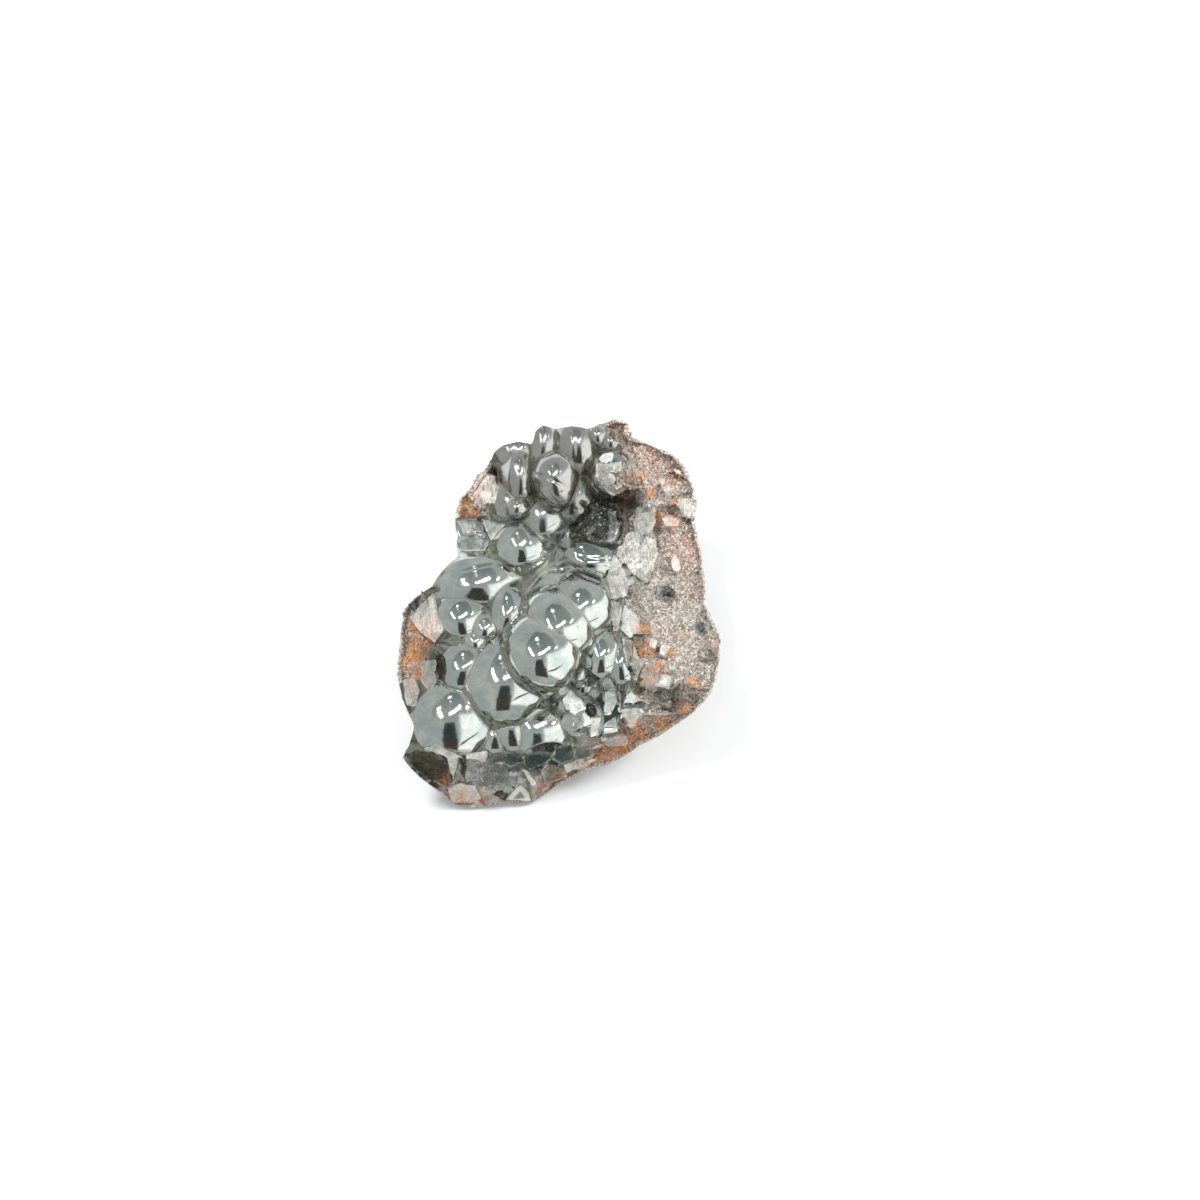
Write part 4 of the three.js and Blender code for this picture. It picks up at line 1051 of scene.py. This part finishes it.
class Finish:
    """A material's nodes, made one after another, each from the sockets it reads."""

    def __init__(self, name):
        self.material = bpy.data.materials.new(name)
        self.material.use_nodes = True
        self.tree = self.material.node_tree
        self.tree.nodes.clear()
        self.place = self.add("ShaderNodeTexCoord").outputs["Object"]

    def join(self, value, socket):
        """Links a socket, or sets a plain value."""
        if isinstance(value, bpy.types.NodeSocket):
            self.tree.links.new(value, socket)
        else:
            socket.default_value = value

    def add(self, kind, inputs=(), **settings):
        """A node with settings, its inputs joined to sockets or set to values."""
        node = self.tree.nodes.new(kind)
        for key, value in settings.items():
            setattr(node, key, value)
        for key, value in dict(inputs).items():
            self.join(value, node.inputs[key])
        return node

    def attribute(self, name):
        """One of the surface's own marks."""
        return self.add("ShaderNodeAttribute", attribute_name=name).outputs["Fac"]

    def math(self, operation, first, second, clamp=False):
        """Two values worked into one, held in 0..1 if clamped."""
        node = self.add("ShaderNodeMath", {0: first, 1: second}, operation=operation, use_clamp=clamp)
        return node.outputs[0]

    def times(self, *values):
        """The product of all the values."""
        product = values[0]
        for value in values[1:]:
            product = self.math("MULTIPLY", product, value)
        return product

    def less(self, value):
        """One minus the value."""
        return self.math("SUBTRACT", 1.0, value, True)

    def noise(self, size, detail, roughness, place=None):
        """Cloudy noise whose lumps are about size mm wide."""
        inputs = {"Vector": place or self.place, "Scale": 1 / (size * MM), "Detail": detail,
                  "Roughness": roughness}
        return self.add("ShaderNodeTexNoise", inputs).outputs["Fac"]

    def named_noise(self, name, place=None):
        """One of the named noises."""
        return self.noise(*NOISES[name], place)

    def cells(self, size, output="Color"):
        """Random cells about size mm wide."""
        inputs = {"Vector": self.place, "Scale": 1 / (size * MM)}
        return self.add("ShaderNodeTexVoronoi", inputs).outputs[output]

    def stretched(self, turn, drawn):
        """Places drawn out along one direction, for fibres."""
        inputs = {"Vector": self.place, "Rotation": (0, 0, math.radians(turn)), "Scale": (1, 1 / drawn, 1)}
        return self.add("ShaderNodeMapping", inputs).outputs[0]

    def farness(self, low, high, end=1.0):
        """Runs from 0 to end towards the far end, between two places in mm along it."""
        along = self.add("ShaderNodeSeparateXYZ", {0: self.place}).outputs["Y"]
        return self.ramp(along, low * MM, high * MM, 0.0, end)

    def ramp(self, value, low, high, start=0.0, end=1.0):
        """Runs from start to end while the value runs from low to high."""
        inputs = {"Value": value, "From Min": low, "From Max": high, "To Min": start, "To Max": end}
        return self.add("ShaderNodeMapRange", inputs, interpolation_type="SMOOTHSTEP").outputs["Result"]

    def mixed(self, kind, share, first, second):
        """A Mix node of one kind, its three live sockets joined. Gives its live output."""
        node = self.add("ShaderNodeMix", data_type=kind)
        live = [s for s in node.inputs if s.enabled]
        for value, socket in zip((share, first, second), live):
            self.join(value, socket)
        return [s for s in node.outputs if s.enabled][0]

    def mix(self, share, first, second):
        """Between two colours."""
        return self.mixed("RGBA", share, first, second)

    def over(self, colour, share, name):
        """A share of one of the named colours over the colour below it."""
        return self.mix(share, colour, srgb(*COLOURS[name]))

    def blend(self, share, first, second):
        """Between two numbers."""
        return self.mixed("FLOAT", share, first, second)

    def bump(self, height, name, below=None):
        """One of the named reliefs, of its own depth in mm."""
        inputs = {"Height": height, "Distance": BUMPS[name] * MM, "Strength": 1.0}
        if below is not None:
            inputs["Normal"] = below
        return self.add("ShaderNodeBump", inputs).outputs["Normal"]

    def shader(self, **inputs):
        """Ends the material with one surface shader."""
        shader = self.add("ShaderNodeBsdfPrincipled", inputs)
        self.add("ShaderNodeOutputMaterial", {"Surface": shader.outputs[0]})
        return self.material


def skin_colour(f):
    """Grown skin: cool mirror grey under a thin, patchy haze, duller and warmer on the far domes."""
    haze = f.ramp(f.named_noise("haze"), 0.35, 0.7)
    colour = f.mix(haze, srgb(*COLOURS["skin"]), srgb(*COLOURS["skin haze"]))
    colour = f.over(colour, f.farness(10, 20, 0.55), "far skin")
    return f.over(colour, f.ramp(f.named_noise("tarnish"), 0.56, 0.66, 0.0, 0.75), "tarnish")


def crust_colour(f, tone, tint, fibre):
    """Bare breaks: each facet its own grey, olive or teal, mottled, with pale edges, partly chipped and
    partly a painted highlight, and with pale fibres where it splintered. Also gives the fibres."""
    clouds = f.named_noise("clouds")
    tone = f.math("ADD", tone, f.ramp(clouds, 0.34, 0.66, -0.12, 0.10))
    tone = f.math("ADD", tone, f.ramp(f.named_noise("mottle"), 0.36, 0.64, -0.07, 0.07), True)
    pale = f.math("POWER", tone, 2.2)
    colour = f.mix(pale, srgb(*COLOURS["dark break"]), srgb(*COLOURS["pale break"]))
    colour = f.over(colour, f.ramp(tint, 0.0, 1.0, 0.0, 0.55), "teal")
    colour = f.over(colour, f.ramp(tint, -1.0, 0.0, 0.6, 0.0), "olive")
    # pale chipped edges, partly a painted edge highlight
    colour = f.over(colour, f.times(f.attribute("edge"), f.ramp(clouds, 0.4, 0.55), 0.7), "chipped edge and painted highlight")
    threads = f.ramp(f.named_noise("threads", f.stretched(**THREADS)), 0.35, 0.65)
    colour = f.over(colour, f.times(fibre, threads, 0.7), "fibre")
    return f.over(colour, f.times(fibre, f.less(threads), 0.55), "between fibres"), threads


def matrix_colour(f, tone, rust_here, pink_here):
    """Broken matrix: pale and dark shards with pink and tan patches, painted light on its ridges and
    painted shade in its hollows, rust in and around its stains, white and dark specks, and pores painted
    dark as shade. Also gives the stains and the grains."""
    mottle, shards = f.named_noise("matrix mottle"), f.cells(SHARD_CELLS)
    specks, grains = f.named_noise("matrix specks"), f.named_noise("grains")
    clouds = f.ramp(f.named_noise("matrix clouds"), 0.38, 0.62)
    colour = f.mix(clouds, srgb(*COLOURS["matrix"]), srgb(*COLOURS["pale matrix"]))
    colour = f.over(colour, f.ramp(shards, 0.25, 0.45, 0.5, 0.0), "dark shard")
    colour = f.over(colour, f.ramp(shards, 0.52, 0.72, 0.0, 0.7), "white shard")
    colour = f.over(colour, f.ramp(tone, 0.15, 0.45, 0.4, 0.0), "dark matrix")
    colour = f.over(colour, f.ramp(tone, 0.6, 0.85, 0.0, 0.45), "light matrix")
    colour = f.over(colour, f.times(f.ramp(mottle, 0.5, 0.66), 0.5), "tan")
    colour = f.over(colour, f.times(pink_here, f.ramp(mottle, 0.35, 0.6, 0.35, 0.85)), "pink")
    # painted light on the relief's ridges and painted shade in its hollows
    colour = f.over(colour, f.times(f.attribute("ridge"), 0.5), "painted ridge light")
    colour = f.over(colour, f.times(f.attribute("hollow"), 0.5), "hollow")

    stain = f.times(f.ramp(rust_here, 0.1, 0.8), f.ramp(mottle, 0.40, 0.52))
    stain = f.math("MAXIMUM", stain, f.ramp(f.named_noise("veins"), 0.60, 0.68, 0.0, 0.6))
    colour = f.over(colour, stain, "rust")
    colour = f.over(colour, f.times(stain, f.ramp(grains, 0.50, 0.60)), "ochre")
    colour = f.over(colour, f.ramp(specks, 0.33, 0.41, 0.7, 0.0), "dark speck")
    clean = f.less(f.times(stain, 0.6))
    colour = f.over(colour, f.times(f.ramp(specks, 0.54, 0.60, 0.0, 0.9), clean), "white speck")
    # painted shade: dark dots stand for the shade inside pits that the surface doesn't have
    pores = f.ramp(f.named_noise("pores"), 0.29, 0.34, 1.0, 0.0)
    return f.over(colour, f.times(pores, 0.85), "pore"), stain, grains


def hematite_finish():
    """The whole stone: grown skin, bare breaks and matrix, told apart by the surface's own marks, with
    grime and painted shade along the creases, painted shade in the hollows and the pit, and painted glints."""
    f = Finish("botryoidal_hematite")
    grown, dark, fibre = f.attribute("grown"), f.attribute("dark"), f.attribute("fibre")
    rust, pink = f.attribute("rust"), f.attribute("pink")
    matrix = f.times(f.attribute("matrix"), f.less(f.attribute("bare")))
    tone = f.math("ADD", f.attribute("tone"), f.attribute("shade"))
    broken = f.less(grown)

    crust, threads = crust_colour(f, tone, f.attribute("tint"), fibre)
    ground, stain, grains = matrix_colour(f, tone, rust, pink)
    crust = f.mix(f.times(fibre, f.ramp(f.named_noise("chalk"), 0.48, 0.6)), crust, ground)
    colour = f.mix(matrix, crust, ground)
    rusty = f.times(f.less(matrix), broken, f.ramp(f.named_noise("edge rust"), 0.4, 0.6))
    edge_rust = f.times(f.math("MAXIMUM", rust, pink), rusty)
    edge_tint = f.mix(pink, srgb(*COLOURS["rusty edge"]), srgb(*COLOURS["pink edge"]))
    colour = f.mix(f.times(edge_rust, 0.8), colour, edge_tint)
    colour = f.mix(grown, colour, skin_colour(f))
    # painted shade: the dark places are darkened towards near black
    colour = f.over(colour, f.times(dark, f.blend(matrix, 0.6, 0.85)), "painted recess shade")
    # painted glints: pale flecks in the dark crust stand for tiny reflections
    painted_glint = f.times(dark, broken, f.less(matrix), f.ramp(f.named_noise("painted_glint"), 0.58, 0.66))
    colour = f.over(colour, painted_glint, "painted_glint")
    # crease grime with painted shade: the creases between forms darken
    grime_and_shade_patches = f.times(f.ramp(f.named_noise("dirt_and_crease_shade"), 0.3, 0.6, 0.55, 1.0), f.less(f.times(dark, 0.9)))
    dirt_and_crease_shade = f.times(f.attribute("crease"), grime_and_shade_patches)
    colour = f.over(colour, f.times(dirt_and_crease_shade, 0.8), "dirt_and_crease_shade")

    glint = f.times(f.ramp(f.cells(GLINT_CELLS), 0.60, 0.66), f.less(stain))
    metal = f.blend(matrix, f.blend(fibre, 0.4, 0.1), f.blend(glint, 0.0, 0.5))
    metal = f.blend(grown, metal, 0.96)
    metal = f.times(metal, f.less(f.times(dirt_and_crease_shade, 0.8)), f.less(edge_rust))

    dust = f.ramp(f.named_noise("dust"), 0.5, 0.75)
    sleek, dull = f.blend(dust, 0.06, 0.16), f.blend(dust, 0.17, 0.26)
    rough = f.blend(matrix, f.blend(fibre, 0.16, 0.4), f.blend(glint, 0.5, 0.2))
    rough = f.blend(grown, rough, f.blend(f.farness(8, 16), sleek, dull))
    rough = f.blend(dirt_and_crease_shade, rough, 0.6)

    normal = f.bump(f.times(grains, matrix), "grains")
    normal = f.bump(f.times(f.cells(SHARD_CELLS, "Distance"), matrix), "shards", normal)
    normal = f.bump(f.times(threads, fibre), "threads", normal)
    normal = f.bump(f.times(f.named_noise("break"), broken), "break", normal)
    normal = f.bump(f.times(f.named_noise("skin"), grown), "skin", normal)
    return f.shader(**{"Base Color": colour, "Metallic": metal, "Roughness": rough, "Normal": normal})


# ---- the piece --------------------------------------------------------------------------------------

SHARP_ANGLE = math.radians(42)


def between_forms(mesh, faces, form):
    """True for the edges whose two triangles belong to different forms."""
    weights = np.array([len(mesh.vertices), 1])
    sides = np.concatenate([faces[:, [0, 1]], faces[:, [1, 2]], faces[:, [2, 0]]])
    keys = np.sort(sides, axis=1) @ weights
    order = np.argsort(keys, kind="stable")
    keys, form = keys[order], np.tile(form, 3)[order]
    borders = keys[0::2][form[0::2] != form[1::2]]
    ends = np.empty(2 * len(mesh.edges), np.int32)
    mesh.edges.foreach_get("vertices", ends)
    return np.isin(np.sort(ends.reshape(-1, 2), axis=1) @ weights, borders)


def make_stone():
    """The surface as a mesh object with its marks, its crisp edges and its finish."""
    points, faces, facts, stains, form, skin = finished_stone()
    mesh = bpy.data.meshes.new("hematite_stone")
    mesh.from_pydata(points * MM, [], faces)
    for domain, table in (("FACE", facts), ("POINT", stains)):
        for name, values in table.items():
            attribute = mesh.attributes.new(name, "FLOAT", domain)
            attribute.data.foreach_set("value", values.astype(np.float32))
    mesh.shade_smooth()
    mesh.set_sharp_from_angle(angle=SHARP_ANGLE)
    sharp = mesh.attributes.get("sharp_edge") or mesh.attributes.new("sharp_edge", "BOOLEAN", "EDGE")
    marked = np.empty(len(mesh.edges), bool)
    sharp.data.foreach_get("value", marked)
    sharp.data.foreach_set("value", marked | between_forms(mesh, faces, form))
    corners = np.empty(3 * len(mesh.loops), np.float32)
    mesh.corner_normals.foreach_get("vector", corners)
    corners = corners.reshape(-1, 3, 3)
    grown = np.flatnonzero(np.abs(skin).sum(axis=(1, 2)) > 0)
    corners[grown] = skin[grown]
    mesh.normals_split_custom_set(corners.reshape(-1, 3))
    mesh.materials.append(hematite_finish())
    stone = bpy.data.objects.new("hematite_stone", mesh)
    bpy.context.scene.collection.objects.link(stone)
    return stone


stone = make_stone()
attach(stone, "root")
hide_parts(NODE)

# ---- studio -----------------------------------------------------------------------------------------

# Distances in the studio are metres, but the aim's plan place and the bank of stones are millimetres.
CAMERA_DISTANCE = 0.9
LENS, SENSOR = 135.0, 36.0
CLIP = (0.05, 20.0)
AIM_A, AIM_B = 8.0, 2.8
TOWARDS_CAMERA = np.array([0.0, -math.sin(PLAN_LEAN), math.cos(PLAN_LEAN)])
CAMERA_UP = np.array([0.0, math.cos(PLAN_LEAN), math.sin(PLAN_LEAN)])
CAMERA_RIGHT = np.array([1.0, 0.0, 0.0])
TABLE = {"reach": 4.0, "colour": (0.93, 0.93, 0.93, 1.0), "roughness": 0.7}
ROOM = {"colour": (0.74, 0.77, 0.78, 1.0), "strength": 0.88}
LAMPS = [("top", (-0.5, 0.3, 1.1), 0.3, 10.0), ("right", (0.8, 0.2, 0.8), 0.25, 8.0)]   # place, size, watts

WHITE, PALE, GREY, TEAL = (1, 1, 1), (0.84, 0.86, 0.86), (0.42, 0.46, 0.46), (0.16, 0.24, 0.26)
BLACK, BROWN, SLATE = (0.01, 0.01, 0.008), (0.10, 0.065, 0.03), (0.04, 0.065, 0.075)
# What the domes mirror, as cards bent round the stone: the corners (near left, near right, far right and
# far left, in degrees off the line to the camera, rightwards and upwards), two colours, glow, softness
# of the edge, fading towards the near end, and nearness.
CARDS = {
    "figure": ([(-21, -36), (24, -36), (18, 2), (-17, 2)], (BLACK, BROWN), 1.0, 0.25, 0.0, 0.90),
    "figure_top": ([(-17, -6), (18, -6), (9, 30), (-11, 30)], (BLACK, SLATE), 1.0, 0.35, 0.0, 0.89),
    "arm": ([(16, -18), (20, -8), (64, 6), (62, 2)], (BLACK, BROWN), 1.0, 0.5, 0.0, 0.88),
    "ceiling": ([(-40, 30), (40, 30), (70, 88), (-70, 88)], (TEAL, GREY), 0.8, 0.12, 0.8, 1.0),
    "strip_left": ([(-19, 34), (-15, 37), (-38, 56), (-43, 54)], (WHITE, WHITE), 9.0, 0.2, 0.0, 0.9),
    "strip_right": ([(-8, 43), (-5, 38), (31, 52), (27, 57)], (WHITE, WHITE), 9.0, 0.2, 0.0, 0.9),
    "strip_small": ([(42, 48), (43, 44), (56, 48), (54, 52)], (WHITE, WHITE), 6.0, 0.3, 0.0, 0.9),
    "lamp": ([(-32, 71), (-18, 71), (-18, 77), (-32, 77)], (WHITE, WHITE), 9.0, 0.5, 0.0, 0.9),
    "lamp_small": ([(-16, 64), (-10, 64), (-10, 67), (-16, 67)], (WHITE, WHITE), 4.0, 0.5, 0.0, 0.9),
    "lamp_least": ([(-10, 59), (-5, 59), (-5, 61), (-10, 61)], (WHITE, WHITE), 3.0, 0.5, 0.0, 0.9),
    "window": ([(16, -22), (118, -50), (118, 46), (13, 42)], (WHITE, PALE), 2.0, 0.2, 0.0, 1.0),
}
CARD_DISTANCE = 1.3
CARD_STEPS = 24                # points along each side of a card
CARD_MOTTLE = 70.0             # size of the mottling in mm
MOTTLE_DETAIL = (4.0, 0.55)    # its finer layers, and how rough those are

# The dark stones round about: bearings, rows, reaches and height of a bank, the waves of its crest, and
# its looks.
NEIGHBOURS = {
    "from": 140, "to": 400, "step": 5, "rows": 6, "near": 40.0, "far": 76.0, "height": 24.0,
    "waves": ((0.3, 5), (0.2, 11)), "colours": ((0.05, 0.05, 0.036), (0.42, 0.42, 0.35)),
    "soft": 0.3, "mottle": 9.0,
}


def staged(name, points, faces, material):
    """A studio piece from its points and faces."""
    mesh = bpy.data.meshes.new(name)
    mesh.from_pydata(points, [], faces)
    mesh.materials.append(material)
    made = bpy.data.objects.new(name, mesh)
    bpy.context.scene.collection.objects.link(made)
    return made


def unseen(piece):
    """Leaves a studio piece to reflections alone."""
    piece.visible_camera = False
    piece.visible_diffuse = False
    piece.visible_shadow = False


def make_floor():
    """The white table."""
    reach = TABLE["reach"]
    corners = [(-reach, -reach, 0), (reach, -reach, 0), (reach, reach, 0), (-reach, reach, 0)]
    looks = {"Base Color": TABLE["colour"], "Roughness": TABLE["roughness"]}
    staged("floor", corners, [(0, 1, 2, 3)], Finish("white_table").shader(**looks))


def grid_squares(shape):
    """The squares of a grid of points."""
    index = np.arange(np.prod(shape)).reshape(shape)
    return np.stack([index[:-1, :-1], index[1:, :-1], index[1:, 1:], index[:-1, 1:]], -1).reshape(-1, 4)


def direction(right, up):
    """A direction seen from the stone, in degrees off the line to the camera, rightwards and upwards."""
    right, up = np.radians(right)[..., None], np.radians(up)[..., None]
    return (CAMERA_RIGHT * np.sin(right) * np.cos(up) + CAMERA_UP * np.sin(up)
            + TOWARDS_CAMERA * np.cos(right) * np.cos(up))


def mottled_card(name, points, faces, marks, colours, glow, soft, fade, mottle):
    """A card that only reflections see: it glows in two mottled colours, thins out towards its edge over
    the soft share, and fades towards its near end."""
    f = Finish(name)
    share = f.ramp(f.attribute("inward"), 0.0, soft)
    share = f.times(share, f.blend(fade, 1.0, f.attribute("along")))
    clouds = f.ramp(f.noise(mottle, *MOTTLE_DETAIL), 0.35, 0.65)
    colour = f.mix(clouds, *[(*colour, 1.0) for colour in colours])
    light = f.add("ShaderNodeEmission", {"Color": colour, "Strength": glow}).outputs[0]
    clear = f.add("ShaderNodeBsdfTransparent").outputs[0]
    both = f.add("ShaderNodeMixShader", {0: share, 1: clear, 2: light}).outputs[0]
    f.add("ShaderNodeOutputMaterial", {"Surface": both})
    made = staged(name, points, faces, f.material)
    for mark, values in marks.items():
        made.data.attributes.new(mark, "FLOAT", "POINT").data.foreach_set("value", values.ravel())
    unseen(made)


def card(name, corners, colours, glow, soft, fade, nearer):
    """A card bent round the stone: between its four corners both degrees run evenly."""
    near_left, near_right, far_right, far_left = np.array(corners, float)
    line = np.linspace(0, 1, CARD_STEPS)
    u, v = np.meshgrid(line, line, indexing="ij")
    marks = {"inward": 2 * np.minimum(np.minimum(u, 1 - u), np.minimum(v, 1 - v)), "along": v}
    faces = grid_squares(u.shape)
    u, v = u[..., None], v[..., None]
    at = (1 - v) * ((1 - u) * near_left + u * near_right) + v * ((1 - u) * far_left + u * far_right)
    ways = direction(at[..., 0], at[..., 1]).reshape(-1, 3)
    points = placed(0.0, 0.0, 0.0) * MM + ways * CARD_DISTANCE * nearer
    mottled_card(name, points, faces, marks, colours, glow, soft, fade, CARD_MOTTLE)


def make_neighbours():
    """Dark stones stand round the left, near and right sides, and only reflections see them: a bank
    that climbs outwards from the table, with olive and black mottling."""
    turns = np.radians(np.arange(NEIGHBOURS["from"], NEIGHBOURS["to"] + 1, NEIGHBOURS["step"]))
    rows = np.linspace(0, 1, NEIGHBOURS["rows"])
    at, out = np.meshgrid(turns, rows, indexing="ij")
    reach = NEIGHBOURS["near"] + (NEIGHBOURS["far"] - NEIGHBOURS["near"]) * out
    waves = sum((share * np.sin(count * at) for share, count in NEIGHBOURS["waves"]), 1)
    crest = out * (NEIGHBOURS["height"] * waves)
    points = np.stack([reach * np.cos(at), reach * np.sin(at), crest], -1).reshape(-1, 3) * MM
    marks = {"inward": 2 * np.minimum(1 - out, 0.5), "along": out}
    looks = (NEIGHBOURS["colours"], 1.0, NEIGHBOURS["soft"], 0.0, NEIGHBOURS["mottle"])
    mottled_card("neighbours", points, grid_squares(at.shape), marks, *looks)


def make_lights():
    """An even room, with broad lamps above and to the right that shape the broken ground."""
    world = bpy.data.worlds.new("studio")
    world.use_nodes = True
    background = world.node_tree.nodes["Background"]
    background.inputs["Color"].default_value = ROOM["colour"]
    background.inputs["Strength"].default_value = ROOM["strength"]
    bpy.context.scene.world = world
    for name, where, size, watts in LAMPS:
        data = bpy.data.lights.new(name, "AREA")
        data.size = size
        data.energy = watts
        lamp = bpy.data.objects.new(name, data)
        lamp.location = where
        lamp.rotation_mode = "QUATERNION"
        lamp.rotation_quaternion = (-Vector(where)).to_track_quat("-Z", "Y")
        lamp.visible_glossy = False
        bpy.context.scene.collection.objects.link(lamp)


def make_camera():
    """Square on to the plan, through a long lens."""
    data = bpy.data.cameras.new("camera")
    data.lens = LENS
    data.sensor_width = SENSOR
    data.clip_start, data.clip_end = CLIP
    camera = bpy.data.objects.new("camera", data)
    camera.location = placed(AIM_A, AIM_B, 0.0) * MM + TOWARDS_CAMERA * CAMERA_DISTANCE
    camera.rotation_euler = (PLAN_LEAN, 0, 0)
    bpy.context.scene.collection.objects.link(camera)
    bpy.context.scene.camera = camera


make_floor()
for name, row in CARDS.items():
    card(name, *row)
make_neighbours()
make_lights()
make_camera()
bpy.context.scene.view_settings.view_transform = "Standard"
